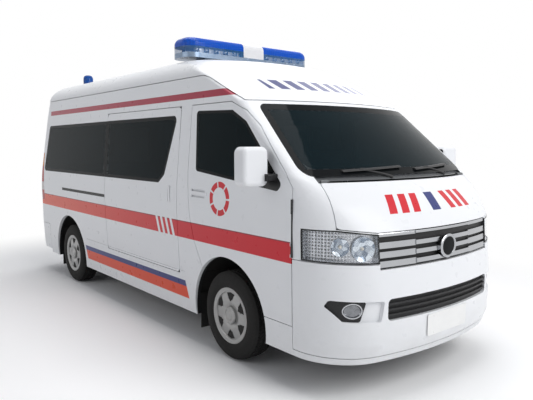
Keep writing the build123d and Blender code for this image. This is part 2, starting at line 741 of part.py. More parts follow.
with BuildPart() as leaf_springs:
    for side in (1, -1):
        with BuildSketch(Plane.XZ.offset(-(side * spring_y - spring_half))):
            with BuildLine():
                base = tyre_radius + axle_radius
                back_x = rear_axle_x - spring_reach
                fore_x = rear_axle_x + spring_reach
                eye_top = spring_eye_z + spring_thick
                ThreePointArc((back_x, spring_eye_z), (rear_axle_x, base), (fore_x, spring_eye_z))
                Line((fore_x, spring_eye_z), (fore_x, eye_top))
                ThreePointArc((fore_x, eye_top), (rear_axle_x, base + spring_thick), (back_x, eye_top))
                Line((back_x, eye_top), (back_x, spring_eye_z))
            make_face()
        extrude(amount=-2 * spring_half)
        for end in (-1, 1):
            x = rear_axle_x + end * (spring_reach - 30)
            inside = side * (rail_y + rail_width / 2)
            shackle_y = sorted((inside, side * (spring_y + spring_half)))
            add(span_box(x - 30, x + 30, *shackle_y, spring_eye_z - 4, rail_top))

# Drive line and tanks below the floor
with BuildPart() as engine_block:
    add(span_box(1040, 1690, -250, 250, 290, 790))
    add(span_box(520, 1040, -140, 140, 320, 500))
with BuildPart() as propshaft:
    with BuildSketch(Plane.YZ.offset(520)):
        with Locations((0, 400)):
            Circle(36)
    with BuildSketch(Plane.YZ.offset(rear_axle_x + 120)):
        with Locations((0, tyre_radius)):
            Circle(36)
    loft()
    with Locations((rear_axle_x, 0, tyre_radius)):
        Sphere(140, mode=Mode.SUBTRACT)
with BuildPart() as fuel_tank:
    add(span_box(-1000, -150, 470, 800, 300, rail_top))
    fillet(edges().filter_by(Axis.X), 40)
pipe_z = 366
pipe_radius = 26
with BuildPart() as exhaust:
    add(span_box(-1000, -350, -720, -490, 330, rail_top))
    fillet(edges().filter_by(Axis.X), 60)
    with BuildLine() as pipe_route:
        FilletPolyline((-360, -600, pipe_z), (350, -600, pipe_z), (700, -100, pipe_z), radius=200)
    with BuildSketch(Plane.YZ.offset(-360)):
        with Locations((-600, pipe_z)):
            Circle(pipe_radius)
    sweep()
    add(engine_block.part, mode=Mode.SUBTRACT)
spare_x = -2250
spare_top = rail_top - 50
with BuildPart() as spare_wheel:
    with BuildSketch(Plane.XZ):
        with BuildLine():
            Polyline(
                (spare_x, spare_top - 20), (spare_x + 180, spare_top - 20), (spare_x + 210, spare_top),
                (spare_x + 300, spare_top), (spare_x + 325, spare_top - 25), (spare_x + 325, spare_top - 170),
                (spare_x + 300, spare_top - 195), (spare_x + 205, spare_top - 190),
                (spare_x + 190, spare_top - 90), (spare_x, spare_top - 90), close=True,
            )
        make_face()
    revolve(axis=Axis((spare_x, 0, 0), (0, 0, 1)))

# Cab and patient space
dash_outline = [
    (1990, 1000), (2060, 1180), (2180, 1260), (2600, 1290), (2600, floor_top), (2250, floor_top), (2250, 980),
]
with BuildPart() as dashboard:
    add(common(inner, side_block(dash_outline, -out_y, out_y)))
with BuildPart() as steering_wheel:
    tilt = Plane(origin=(1830, 420, 1170), x_dir=(0, 1, 0), z_dir=(-0.62, 0, 0.785))
    with Locations(tilt):
        Torus(185, 15)
        Cylinder(48, 30)
        Box(360, 34, 14)
        with Locations((0, 0, -150)):
            Cylinder(24, 300)
    add(dashboard.part, mode=Mode.SUBTRACT)
with BuildPart() as front_seats:
    for y in (420, -420):
        add(span_box(1180, 1680, y - 240, y + 240, platform_top, 960))
        with BuildSketch(Plane.XZ.offset(-(y - 230))):
            with BuildLine():
                Polyline((1180, 900), (1300, 900), (1150, 1560), (1060, 1560), close=True)
            make_face()
        extrude(amount=-460)
        add(span_box(1050, 1130, y - 130, y + 130, 1540, 1740))
with BuildPart() as partition:
    add(common(inner, span_box(880, 910, -out_y, out_y, floor_top, 2260)))
    add(span_box(800, 1000, -420, 420, 1250, 1800), mode=Mode.SUBTRACT)
with BuildPart() as bench:
    add(span_box(-2150, -700, -800, -380, 820, 980))
    add(span_box(-2150, -700, -760, -440, floor_top, 820))
    add(house_space.part, mode=Mode.SUBTRACT)
with BuildPart() as cabinet:
    add(span_box(200, 870, 420, 780, floor_top, 1700))
with BuildPart() as stretcher:
    add(span_box(-2250, -350, -180, 370, 900, 980))
    add(span_box(-2150, -450, -100, 290, floor_top, 900))

# Roof lamps
bar_x = 465
bar_half = 700
bar_depth = 300
bar_low = 2318
bar_mid = 2360
bar_top = 2490
bar_centre = 115
with BuildPart() as light_bar_base:
    with BuildSketch(Plane.XY.offset(bar_low)):
        with Locations((bar_x, 0)):
            RectangleRounded(bar_depth, 2 * bar_half, 110)
    extrude(amount=bar_mid - bar_low)
    for y in (-430, 430):
        add(span_box(bar_x - 70, bar_x + 70, y - 45, y + 45, 2200, bar_low))
    add(outer, mode=Mode.SUBTRACT)
with BuildPart() as bar_dome:
    with BuildSketch(Plane.XY.offset(bar_mid)):
        with Locations((bar_x, 0)):
            RectangleRounded(bar_depth, 2 * bar_half, 110)
    extrude(amount=bar_top - bar_mid)
    fillet(edges().group_by(Axis.Z)[-1], 60)
with BuildPart() as light_bar_lenses:
    add(bar_dome.part)
    add(span_box(0, 900, -bar_centre, bar_centre, 2300, 2600), mode=Mode.SUBTRACT)
with BuildPart() as light_bar_centre:
    add(common(bar_dome.part, span_box(0, 900, -bar_centre, bar_centre, 2300, 2600)))
beacon_x = -1870
beacon_y = 560
with BuildPart() as rear_beacons:
    for y in (-beacon_y, beacon_y):
        with BuildSketch(Plane.XY.offset(2200)):
            with Locations((beacon_x, y)):
                Circle(66)
        extrude(amount=90)
        with BuildSketch(Plane.XY.offset(2290)):
            with Locations((beacon_x, y)):
                Circle(56)
        extrude(amount=85)
    fillet(edges().group_by(Axis.Z)[-1], 35)
    add(outer, mode=Mode.SUBTRACT)

# Trim
flap_inner_y = 700
flap_outer_y = 850
flap_thick = 8
flap_bottom = 120
flap_top = 405
with BuildPart() as mud_flaps:
    for x in (arch_x_front - arch_radius - 14, arch_x_rear - arch_radius - 14):
        for side in (1, -1):
            upper_y = sorted((side * flap_inner_y, side * out_y))
            lower_y = sorted((side * flap_inner_y, side * flap_outer_y))
            add(common(span_box(x, x + flap_thick, *upper_y, sill_bottom, flap_top), low_inner))
            add(span_box(x, x + flap_thick, *lower_y, flap_bottom, sill_bottom))
with BuildPart() as wipers:
    wiper_band = without(envelope(-20, 2, 2), envelope(0, 2, 2))
    for y in (-330, 330):
        blade = [(y - 260, 1405), (y + 260, 1425), (y + 260, 1437), (y - 260, 1417)]
        add(common(wiper_band, face_block(blade, 2000, 2600)))

pieces = {
    "roof_cap": roof_cap.part,
    "side_panel_left": side_panel_left.part,
    "side_panel_right": side_panel_right.part,
    "front_frame": front_frame.part,
    "door_left": door_left.part,
    "door_right": door_right.part,
    "door_glass_left": door_glass_left.part,
    "door_glass_right": door_glass_right.part,
    "mirror_left": mirror_left.part,
    "mirror_right": mirror_right.part,
    "sliding_door": sliding_door.part,
    "side_glass": side_glass.part,
    "windscreen": windscreen.part,
    "bonnet": bonnet.part,
    "front_bumper": front_bumper.part,
    "fog_lamps": fog_lamps.part,
    "headlamp_lenses": headlamp_lenses.part,
    "headlamp_bowls": headlamp_bowls.part,
    "grille": grille.part,
    "grille_bars": grille_bars.part,
    "tailgate": tailgate.part,
    "tailgate_glass": tailgate_glass.part,
    "rear_bumper": rear_bumper.part,
    "tail_lamps": tail_lamps.part,
    "floor_pan": floor_pan.part,
    "wheel_houses": seat_platform.part,
    "chassis_frame": chassis_frame.part,
    "knuckle_left": knuckle_left.part,
    "knuckle_right": knuckle_right.part,
    "front_suspension": front_suspension.part,
    "rear_axle": rear_axle.part,
    "leaf_springs": leaf_springs.part,
    "engine_block": engine_block.part,
    "propshaft": propshaft.part,
    "fuel_tank": fuel_tank.part,
    "exhaust": exhaust.part,
    "spare_wheel": spare_wheel.part,
    "dashboard": dashboard.part,
    "steering_wheel": steering_wheel.part,
    "front_seats": front_seats.part,
    "partition": partition.part,
    "bench": bench.part,
    "cabinet": cabinet.part,
    "stretcher": stretcher.part,
    "light_bar_base": light_bar_base.part,
    "light_bar_lenses": light_bar_lenses.part,
    "light_bar_centre": light_bar_centre.part,
    "rear_beacons": rear_beacons.part,
    "mud_flaps": mud_flaps.part,
    "slide_rail": slide_rail.part,
    "wipers": wipers.part,
}
pieces.update(wheels)

os.makedirs("parts", exist_ok=True)
for name, piece in pieces.items():
    piece.label = name
    export_step(piece, "parts/" + name + ".step")
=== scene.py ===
import json
import math

import bmesh
import bpy
from mathutils import Matrix, Vector


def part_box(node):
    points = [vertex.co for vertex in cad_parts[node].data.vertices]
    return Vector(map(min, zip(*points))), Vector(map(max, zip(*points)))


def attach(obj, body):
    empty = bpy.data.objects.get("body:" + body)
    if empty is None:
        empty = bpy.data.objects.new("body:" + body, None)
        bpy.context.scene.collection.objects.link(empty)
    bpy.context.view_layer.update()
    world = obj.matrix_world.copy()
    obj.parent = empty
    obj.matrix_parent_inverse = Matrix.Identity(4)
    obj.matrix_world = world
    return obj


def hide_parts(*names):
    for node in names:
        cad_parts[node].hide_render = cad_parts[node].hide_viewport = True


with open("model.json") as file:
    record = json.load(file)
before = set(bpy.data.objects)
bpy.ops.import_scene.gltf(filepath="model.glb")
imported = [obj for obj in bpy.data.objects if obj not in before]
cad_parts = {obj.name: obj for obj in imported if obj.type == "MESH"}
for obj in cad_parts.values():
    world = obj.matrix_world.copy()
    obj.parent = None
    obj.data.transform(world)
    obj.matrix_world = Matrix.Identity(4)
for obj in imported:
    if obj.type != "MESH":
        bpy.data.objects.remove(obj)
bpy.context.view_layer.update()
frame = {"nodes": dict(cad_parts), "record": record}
record = frame["record"]
bodyOf = {node: body for body, nodes in record["behaviour"]["bodies"].items() for node in nodes}
slotOf = {row["node"]: row["material_slot"] for row in record["subparts"]}
print("frame loaded:", len(bodyOf), "nodes")


# shader maths
class Wire:
    def __init__(self, mix, socket):
        self.mix = mix
        self.socket = socket

    def math(self, operation, other=None, swap=False):
        pair = (other, self) if swap else (self, other)
        values = [value for value in pair if value is not None]
        return self.mix.node("ShaderNodeMath", {"operation": operation}, *values)

    def __add__(self, other):
        return self.math("ADD", other)

    __radd__ = __add__

    def __sub__(self, other):
        return self.math("SUBTRACT", other)

    def __rsub__(self, other):
        return self.math("SUBTRACT", other, True)

    def __mul__(self, other):
        return self.math("MULTIPLY", other)

    __rmul__ = __mul__

    def __truediv__(self, other):
        return self.math("DIVIDE", other)

    def __abs__(self):
        return self.math("ABSOLUTE")

    def over(self, edge, soft=0.0012):
        scaled = (self - edge) / soft + 0.5
        return self.mix.node("ShaderNodeClamp", {}, scaled)

    def between(self, low, high, soft=0.0012):
        return self.over(low, soft) * (1 - self.over(high, soft))


class Mix:
    def __init__(self, name, **fixed):
        self.material = bpy.data.materials.new(name)
        self.material.use_nodes = True
        self.tree = self.material.node_tree
        self.shader = self.tree.nodes["Principled BSDF"]
        for key, value in fixed.items():
            self.shader.inputs[key.replace("_", " ")].default_value = value
        self.coords = self.tree.nodes.new("ShaderNodeTexCoord")
        split = self.tree.nodes.new("ShaderNodeSeparateXYZ")
        self.tree.links.new(self.coords.outputs["Object"], split.inputs[0])
        self.x, self.y, self.z = [Wire(self, split.outputs[i]) for i in range(3)]
        self.place = Wire(self, self.coords.outputs["Object"])

    def node(self, kind, settings, *values, out=0, **named):
        made = self.tree.nodes.new(kind)
        for key, value in settings.items():
            setattr(made, key, value)
        slots = list(enumerate(values)) + [(key.replace("_", " "), value) for key, value in named.items()]
        for key, value in slots:
            if isinstance(value, Wire):
                self.tree.links.new(value.socket, made.inputs[key])
            else:
                made.inputs[key].default_value = value
        return Wire(self, made.outputs[out])

    def blend(self, mask, under, over):
        made = self.tree.nodes.new("ShaderNodeMix")
        made.data_type = "RGBA"
        for key, value in ((0, mask), (6, under), (7, over)):
            if isinstance(value, Wire):
                self.tree.links.new(value.socket, made.inputs[key])
            else:
                made.inputs[key].default_value = value if key == 0 else (*value, 1.0)
        return Wire(self, made.outputs[2])

    def noise(self, scale, detail):
        return self.node("ShaderNodeTexNoise", {}, Vector=self.place, Scale=scale, Detail=detail)

    def wave(self, direction, scale, **named):
        settings = {"bands_direction": direction}
        return self.node("ShaderNodeTexWave", settings, Vector=self.place, Scale=scale, **named)

    def feed(self, key, value):
        self.tree.links.new(value.socket, self.shader.inputs[key.replace("_", " ")])

    def bump(self, height, strength, distance):
        bumped = self.node("ShaderNodeBump", {}, Strength=strength, Distance=distance, Height=height)
        self.feed("Normal", bumped)


def distance(first, second):
    return (first * first + second * second).math("SQRT")


# livery on the painted panels, plus painted shade at the door hinge gap and inside the wheel arches, all
# places in metres
livery = {
    "white": (0.80, 0.81, 0.83),
    "shade": (0.75, 0.765, 0.79),
    "film": (0.50, 0.49, 0.46),
    "crimson": (0.60, 0.018, 0.030),
    "orange": (0.70, 0.062, 0.014),
    "navy": (0.030, 0.040, 0.17),
    "edge": (0.22, 0.03, 0.05),
    "roofRed": (0.36, 0.020, 0.050),
    # gap: the colour of the painted shade over the door hinge knuckle, so the hinge gap reads dark
    "gap": (0.03, 0.03, 0.032),
    # the next colour is painted shade inside the wheel arches
    "archShadow": (0.02, 0.02, 0.021),
    "filmTop": 0.45,
    "sideReach": 0.785,
    "waist": (0.842, 0.978),
    "waistMid": 0.91,
    "waistEdge": 0.007,
    "waistRear": -2.585,
    "waistFade": (-0.9, 3.0),
    "slashFirst": 0.462,
    "slashStep": 0.079,
    "slashCount": 4,
    "slashWidth": 0.036,
    "slashLean": 0.31,
    "sill": (0.348, 0.490),
    "sillEnds": (-1.18, 0.905),
    "sillSplit": 0.443,
    "sillMid": 0.42,
    "sillLean": 0.35,
    "roof": (1.930, 1.982),
    "roofRear": -2.29,
    "ring": (1.403, 1.190),
    "ringRadii": (0.082, 0.124),
    "ringParts": 7,
    "ringFill": (0.07, 0.93),
    "bonnetRow": (1.150, 1.262),
    "bonnetFrom": 2.3,
    "bonnetMid": 1.206,
    "bonnetLean": 0.4,
    "bonnetBlocks": ((0.150, 0.215), (0.255, 0.320), (0.360, 0.425)),
    "bonnetCore": 0.045,
    "roofRow": (1.988, 2.068),
    "roofFrom": 1.30,
    "roofMid": 2.03,
    "roofLean": 0.25,
    "roofDashes": 0.56,
    "roofDashStep": 0.125,
    "roofDashFill": (0.18, 0.78),
}
cowl = {"heights": (1.342, 1.379), "from": 2.15, "half": 0.802}
arch = {"centres": (1.458, -1.655), "height": 0.333, "radius": 0.440, "lip": 0.893}
trimGrey = (0.13, 0.135, 0.14)
# door hinge knuckle painted dark: painted shade in the gap at the front door edge
doorPin = {"spot": (2.184, 0.941), "radius": 0.0102, "span": (0.880, 1.250), "dark": 0.002}


def waistBand(paint, side):
    lean = paint.x + (paint.z - livery["waistMid"]) * livery["slashLean"]
    band = paint.z.between(*livery["waist"]) * paint.x.over(livery["waistRear"]) * side
    for index in range(livery["slashCount"]):
        start = livery["slashFirst"] + index * livery["slashStep"]
        band = band * (1 - lean.between(start, start + livery["slashWidth"]))
    return band


def doorRing(paint, side):
    across = paint.x - livery["ring"][0]
    up = paint.z - livery["ring"][1]
    turn = up.math("ARCTAN2", across) * (livery["ringParts"] / math.tau) + 10  # kept above zero
    parts = turn.math("FRACT").between(*livery["ringFill"], 0.02)
    return distance(across, up).between(*livery["ringRadii"]) * parts * side


def bonnetRow(paint):
    reach = abs(paint.y) + (paint.z - livery["bonnetMid"]) * livery["bonnetLean"]
    row = paint.z.between(*livery["bonnetRow"]) * paint.x.over(livery["bonnetFrom"])
    blocks = [reach.between(low, high) for low, high in livery["bonnetBlocks"]]
    core = 1 - abs(paint.y).over(livery["bonnetCore"])
    return (blocks[0] + blocks[1] + blocks[2]) * row, core * row


def roofDashes(paint):
    row = paint.z.between(*livery["roofRow"]) * paint.x.over(livery["roofFrom"])
    row = row * (1 - abs(paint.y).over(livery["roofDashes"]))
    lean = (paint.z - livery["roofMid"]) * livery["roofLean"]
    steps = (paint.y + lean) / livery["roofDashStep"]
    return steps.math("FRACT").between(*livery["roofDashFill"], 0.01) * row


# painted shade: painted faces inside each wheel arch circle and inboard of the lip are darkened to black
def archShade(paint):
    shades = []
    for x in arch["centres"]:
        reach = distance(paint.x - x, paint.z - arch["height"])
        shades.append((1 - reach.over(arch["radius"])) * (1 - abs(paint.y).over(arch["lip"])))
    return shades[0] + shades[1]


# painted shade: the hinge knuckle at the front door edge is darkened to stand for shade in the door gap
def pinShade(paint):
    across = paint.x - doorPin["spot"][0]
    out = abs(paint.y) - doorPin["spot"][1]
    near = 1 - distance(across, out).over(doorPin["radius"])
    return near * across.over(doorPin["dark"]) * paint.z.between(*doorPin["span"])


def makePaint(name, walled):
    paint = Mix(name, Coat_Roughness=0.05, Coat_Weight=0.12, Specular_IOR_Level=0.22)
    grime = paint.noise(14.0, 4.0)
    colour = paint.blend(paint.noise(2.2, 2.0) * 0.5, livery["white"], livery["shade"])
    low = 1 - paint.z.over(livery["filmTop"], 0.5)  # road film low on the body
    colour = paint.blend(low * grime * 0.30, colour, livery["film"])
    if walled:
        side = abs(paint.y).over(livery["sideReach"])
        red = paint.blend(paint.x.over(*livery["waistFade"]), livery["orange"], livery["crimson"])
        band = waistBand(paint, side)
        colour = paint.blend(band, colour, red)
        topEdge = paint.z.over(livery["waist"][1] - livery["waistEdge"])
        colour = paint.blend(topEdge * band, colour, livery["edge"])
        lean = paint.x + (paint.z - livery["sillMid"]) * livery["sillLean"]
        sill = paint.z.between(*livery["sill"]) * lean.between(*livery["sillEnds"]) * side
        sillTone = paint.blend(paint.z.over(livery["sillSplit"]), livery["orange"], livery["navy"])
        colour = paint.blend(sill, colour, sillTone)
        roof = paint.z.between(*livery["roof"]) * paint.x.over(livery["roofRear"]) * side
        colour = paint.blend(roof, colour, livery["roofRed"])
        colour = paint.blend(doorRing(paint, side), colour, livery["crimson"])
    else:
        blocks, core = bonnetRow(paint)
        colour = paint.blend(blocks, colour, livery["crimson"])
        colour = paint.blend(core + roofDashes(paint), colour, livery["navy"])
        strip = paint.z.between(*cowl["heights"]) * paint.x.over(cowl["from"])
        strip = strip * (1 - abs(paint.y).over(cowl["half"]))
        colour = paint.blend(strip, colour, trimGrey)
    # painted shade: the door hinge knuckle is darkened so the gap at the front door edge reads dark
    colour = paint.blend(pinShade(paint), colour, livery["gap"])
    # painted shade: painted faces inside the wheel arches are darkened to black
    colour = paint.blend(archShade(paint), colour, livery["archShadow"])
    paint.feed("Base_Color", colour)
    paint.feed("Roughness", grime * 0.10 + 0.24)
    paint.bump(paint.noise(60.0, 1.0), 0.006, 0.0004)  # faint orange peel
    return paint.material


mirrorHead = {"out": 0.967, "front": 1.999, "bracket": (0.014, 0.014, 0.015)}


def makeMirrorPaint(name):
    paint = Mix(name, Coat_Weight=0.12, Specular_IOR_Level=0.22)
    grime = paint.noise(14.0, 4.0)
    head = abs(paint.y).over(mirrorHead["out"]) * (1 - paint.x.over(mirrorHead["front"]))
    shell = paint.blend(grime * 0.4, livery["white"], livery["shade"])
    paint.feed("Base_Color", paint.blend(head, mirrorHead["bracket"], shell))
    paint.feed("Roughness", grime * 0.10 + 0.26)
    paint.bump(paint.noise(220.0, 2.0), 0.012, 0.0004)
    return paint.material


# printed black borders of the screen and the headlamp covers
fritTone = (0.007, 0.008, 0.009)
screenFrit = {"foot": 1.380, "lean": 0.170, "half": 0.822, "clear": (1.424, 1.818)}
lampFrit = {
    "inner": 0.596,
    "low": (0.040, 0.873),
    "high": (0.134, 1.033),
    "top": 1.064,
    "from": 0.603,
    "rear": 2.266,
}


def screenEdge(glass):
    lean = abs(glass.y) + (glass.z - screenFrit["foot"]) * screenFrit["lean"]
    return lean.over(screenFrit["half"]).math("MAXIMUM", 1 - glass.z.between(*screenFrit["clear"]))


def lampEdge(glass):
    out = abs(glass.y)
    across = out - lampFrit["inner"]
    low = across * lampFrit["low"][0] + lampFrit["low"][1]
    high = (across * lampFrit["high"][0] + lampFrit["high"][1]).math("MINIMUM", lampFrit["top"])
    inside = (glass.z - low).over(0.0) * (1 - (glass.z - high).over(0.0))
    return 1 - inside * out.over(lampFrit["from"]) * glass.x.over(lampFrit["rear"])


def makeGlass(name, tint, cover, shine, edgeOf=None):
    glass = Mix(name, IOR=1.45, Specular_IOR_Level=shine)
    streak = glass.noise(3.0, 4.0)
    colour = glass.blend(streak, tint, tuple(part * 1.7 for part in tint))
    alpha = streak * 0.04 + (cover - 0.02)
    if edgeOf:
        edge = edgeOf(glass)
        colour = glass.blend(edge, colour, fritTone)
        alpha = alpha.math("MAXIMUM", edge)
    glass.feed("Base_Color", colour)
    glass.feed("Roughness", streak * 0.05 + 0.01)
    glass.feed("Alpha", alpha)
    return glass.material


def makePlain(name, colour, shade, rough, scale=60.0, metal=0.0, bump=0.1, coat=0.0, shine=0.25):
    plain = Mix(name, Metallic=metal, Coat_Weight=coat, Specular_IOR_Level=0.5 if metal else shine)
    grain = plain.noise(scale, 4.0)
    plain.feed("Base_Color", plain.blend(grain, colour, shade))
    plain.feed("Roughness", grain * 0.16 + (rough - 0.08))
    plain.bump(plain.noise(scale * 5, 2.0), bump, 0.0006)
    return plain.material


skirtBlue = (0.06, 0.20, 0.46)


def makeLens(name, colour, cover, split=None):
    lens = Mix(name, Coat_Weight=0.04, Specular_IOR_Level=0.15)
    wave = lens.wave("Y", 14.0)
    tint = lens.blend(wave * 0.6, colour, tuple(part * 0.6 for part in colour))
    alpha = wave * 0.08 + (cover - 0.06)
    if split:  # clear skirt below the coloured dome
        skirt = 1 - lens.z.over(split, 0.006)
        tint = lens.blend(skirt, tint, skirtBlue)
        alpha = alpha * (1 - skirt * 0.55)
    lens.feed("Base_Color", tint)
    lens.feed("Alpha", alpha)
    lens.feed("Roughness", wave * 0.05 + 0.06)
    lens.bump(wave, 0.10, 0.001)
    return lens.material


dotSet = {"pitch": 0.020, "run": (0.57, 0.82), "radius": 0.34, "outer": 0.76}


def makeReflector(name):
    cup = Mix(name, Metallic=1.0)
    along = abs(cup.y) * dotSet["run"][0] - cup.x * dotSet["run"][1]
    across = (along / dotSet["pitch"] + 400).math("FRACT") - 0.5  # kept above zero
    up = (cup.z / dotSet["pitch"]).math("FRACT") - 0.5
    dots = distance(across, up)
    outer = abs(cup.y).over(dotSet["outer"], 0.10)
    # painted light and shade: the flutes get light and dark colour bands
    flute = cup.wave("Y", 22.0)
    colour = cup.blend(flute * 0.6, (0.56, 0.57, 0.60), (0.26, 0.28, 0.31))
    # painted shade: the dimple dots are darkened
    dark = (1 - dots.over(dotSet["radius"], 0.10)) * outer
    cup.feed("Base_Color", cup.blend(dark, colour, (0.06, 0.065, 0.075)))
    cup.feed("Roughness", flute * 0.10 + 0.14)
    cup.bump(dots, 0.35, 0.003)
    return cup.material


def makeFacets(name):
    dish = Mix(name, Metallic=1.0)
    cells = dish.node("ShaderNodeTexVoronoi", {"feature": "F1"}, Vector=dish.place, Scale=34.0, out=1)
    tone = dish.node("ShaderNodeSeparateColor", {}, cells)
    # painted reflections: random facets get dark blue and bright silver colours for the reflections in the
    # lamp's centre
    colour = dish.blend(tone.over(0.5, 0.6), (0.11, 0.15, 0.21), (0.66, 0.72, 0.78))
    dish.feed("Base_Color", colour)
    dish.feed("Roughness", tone * 0.10 + 0.08)
    dish.bump(tone, 0.25, 0.003)
    return dish.material


tailLamp = {"amberFrom": 1.32, "clear": (1.02, 1.12)}


def makeTail(name):
    tail = Mix(name, Coat_Weight=0.10, Specular_IOR_Level=0.2)
    ribs = tail.wave("Z", 18.0)
    colour = tail.blend(tail.z.over(tailLamp["amberFrom"]), (0.42, 0.012, 0.018), (0.70, 0.22, 0.02))
    colour = tail.blend(tail.z.between(*tailLamp["clear"]), colour, (0.62, 0.62, 0.62))
    tail.feed("Base_Color", tail.blend(ribs * 0.4, colour, (0.20, 0.01, 0.012)))
    tail.feed("Roughness", ribs * 0.08 + 0.08)
    tail.bump(ribs, 0.3, 0.002)
    return tail.material


def makeWood(name):
    wood = Mix(name, Coat_Weight=0.2)
    grain = wood.wave("X", 6.0, Distortion=7.0, Detail=3.0)
    wood.feed("Base_Color", wood.blend(grain, (0.44, 0.29, 0.15), (0.27, 0.16, 0.08)))
    wood.feed("Roughness", grain * 0.15 + 0.38)
    wood.bump(grain, 0.1, 0.0005)
    return wood.material


def makeWeave(name, colour, shade, scale):
    cloth = Mix(name, Sheen_Weight=0.3)
    thread = cloth.wave("Y", scale, Distortion=0.6) * cloth.wave("Z", scale, Distortion=0.6)
    cloth.feed("Base_Color", cloth.blend(thread, colour, shade))
    cloth.feed("Roughness", thread * 0.1 + 0.8)
    cloth.bump(thread, 0.5, 0.0008)
    return cloth.material


black = (0.016, 0.016, 0.017)
finish = {
    "white_paint": makePaint("shellPaint", False),
    "wallPaint": makePaint("wallPaint", True),
    "mirrorPaint": makeMirrorPaint("mirrorPaint"),
    "dark_glass": makeGlass("tintedGlass", (0.003, 0.008, 0.010), 0.82, 0.045),
    "fritBlack": makePlain(
        "fritBlack", (0.005, 0.006, 0.007), (0.008, 0.009, 0.010), 0.34, 40, bump=0.01, shine=0.06
    ),
    "screenGlass": makeGlass("screenGlass", (0.003, 0.009, 0.012), 0.82, 0.045, screenEdge),
    "clear_lens": makeGlass("clearLens", (0.62, 0.65, 0.68), 0.08, 0.35, lampEdge),
    "black_plastic": makePlain("blackPlastic", black, (0.034, 0.034, 0.035), 0.48, 90),
    "chrome_trim": makePlain("chromeTrim", (0.50, 0.51, 0.53), (0.42, 0.43, 0.45), 0.22, 7, 1.0, 0.004),
    "lamp_silver": makeReflector("lampSilver"),
    "lampDish": makePlain("lampDish", (0.62, 0.63, 0.66), (0.40, 0.42, 0.46), 0.14, 20, 1.0, 0.02),
    "facetReflectionDish": makeFacets("facetReflectionDish"),
    "fogGlass": makePlain("fogGlass", (0.34, 0.35, 0.37), (0.10, 0.105, 0.115), 0.16, 26, 0.8, 0.05),
    "bulbGlass": makePlain("bulbGlass", (0.72, 0.60, 0.38), (0.62, 0.62, 0.62), 0.16, 30, 0.0, 0.02, 0.6),
    "mirrorGlass": makePlain("mirrorGlass", (0.80, 0.82, 0.84), (0.72, 0.75, 0.78), 0.10, 6, 1.0, 0.0),
    "plateWhite": makePlain("plateWhite", (0.84, 0.84, 0.83), (0.78, 0.78, 0.77), 0.42, 20, 0.0, 0.05),
    "red_lens": makeTail("tailLens"),
    "blue_lens": makeLens("blueLens", (0.002, 0.082, 0.52), 0.99, 2.412),
    "beaconBlue": makeLens("beaconBlue", (0.004, 0.075, 0.34), 0.96),
    "barTray": makePlain("barTray", (0.10, 0.16, 0.26), (0.30, 0.36, 0.44), 0.25, 22, 0.7, 0.05),
    "white_plastic": makePlain("whitePlastic", (0.74, 0.74, 0.75), (0.66, 0.66, 0.67), 0.35, 40),
    "tyre_rubber": makePlain(
        "tyreRubber", (0.012, 0.012, 0.012), (0.028, 0.027, 0.026), 0.78, 45, bump=0.3, shine=0.15
    ),
    "flap_rubber": makePlain("flapRubber", (0.013, 0.013, 0.013), (0.030, 0.029, 0.028), 0.7, 50, 0.0, 0.3),
    "wheel_silver": makePlain(
        "wheelSilver", (0.36, 0.36, 0.35), (0.28, 0.28, 0.28), 0.34, 24, 0.6, 0.03, coat=0.15
    ),
    "frame_steel": makePlain("frameSteel", (0.018, 0.018, 0.020), (0.05, 0.046, 0.042), 0.58, 25, bump=0.25),
    "cast_metal": makePlain("castMetal", (0.16, 0.16, 0.165), (0.25, 0.24, 0.23), 0.6, 40, 0.6, 0.35),
    "exhaust_steel": makePlain("dullSteel", (0.36, 0.35, 0.33), (0.50, 0.49, 0.48), 0.42, 35, 0.9, 0.15),
    "floor_grey": makePlain("floorGrey", (0.12, 0.12, 0.125), (0.17, 0.17, 0.175), 0.62, 30, 0.0, 0.2),
    "linerBlack": makePlain("linerBlack", (0.012, 0.012, 0.012), (0.026, 0.025, 0.024), 0.8, 35, 0.0, 0.35),
    "seat_cloth": makeWeave("seatCloth", (0.055, 0.057, 0.062), (0.10, 0.10, 0.108), 150.0),
    "bench_vinyl": makePlain("benchVinyl", (0.20, 0.055, 0.04), (0.27, 0.085, 0.06), 0.5, 120, 0.0, 0.4),
    "mattressBlue": makeWeave("mattressBlue", (0.05, 0.09, 0.20), (0.08, 0.13, 0.26), 120.0),
    "cabinet_wood": makeWood("cabinetWood"),
    "cabinLining": makePlain("cabinLining", trimGrey, (0.17, 0.175, 0.18), 0.7, 120, 0.0, 0.4),
    "dash_plastic": makePlain("dashPlastic", (0.05, 0.05, 0.054), (0.085, 0.085, 0.09), 0.6, 140, 0.0, 0.5),
}
lookOf = {
    "wheel_houses": "linerBlack",
    "mirror_left": "mirrorPaint",
    "mirror_right": "mirrorPaint",
    "light_bar_base": "barTray",
    "windscreen": "screenGlass",
}
print("finishes made:", len(finish))


# smooth copies of the CAD nodes
def settle(form, mesh, sharp):
    for face in form.faces:
        face.smooth = True
    for edge in form.edges:
        edge.smooth = len(edge.link_faces) == 2 and edge.calc_face_angle(math.pi) < math.radians(sharp)
    form.to_mesh(mesh)
    form.free()


def place(name, mesh, looks, body, nodes=(), even=True):
    for look in looks:
        mesh.materials.append(finish[look])
    piece = bpy.data.objects.new(name, mesh)
    bpy.context.scene.collection.objects.link(piece)
    if even:
        piece.modifiers.new("evenNormals", "WEIGHTED_NORMAL").keep_sharp = True
    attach(piece, body)
    if nodes:
        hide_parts(*nodes)
    return piece


def addForm(name, form, look, body, sharp=32.0, nodes=(), even=True):
    bmesh.ops.remove_doubles(form, verts=form.verts, dist=0.00001)
    bmesh.ops.recalc_face_normals(form, faces=form.faces)
    mesh = bpy.data.meshes.new(name)
    settle(form, mesh, sharp)
    return place(name, mesh, [look], body, nodes, even)


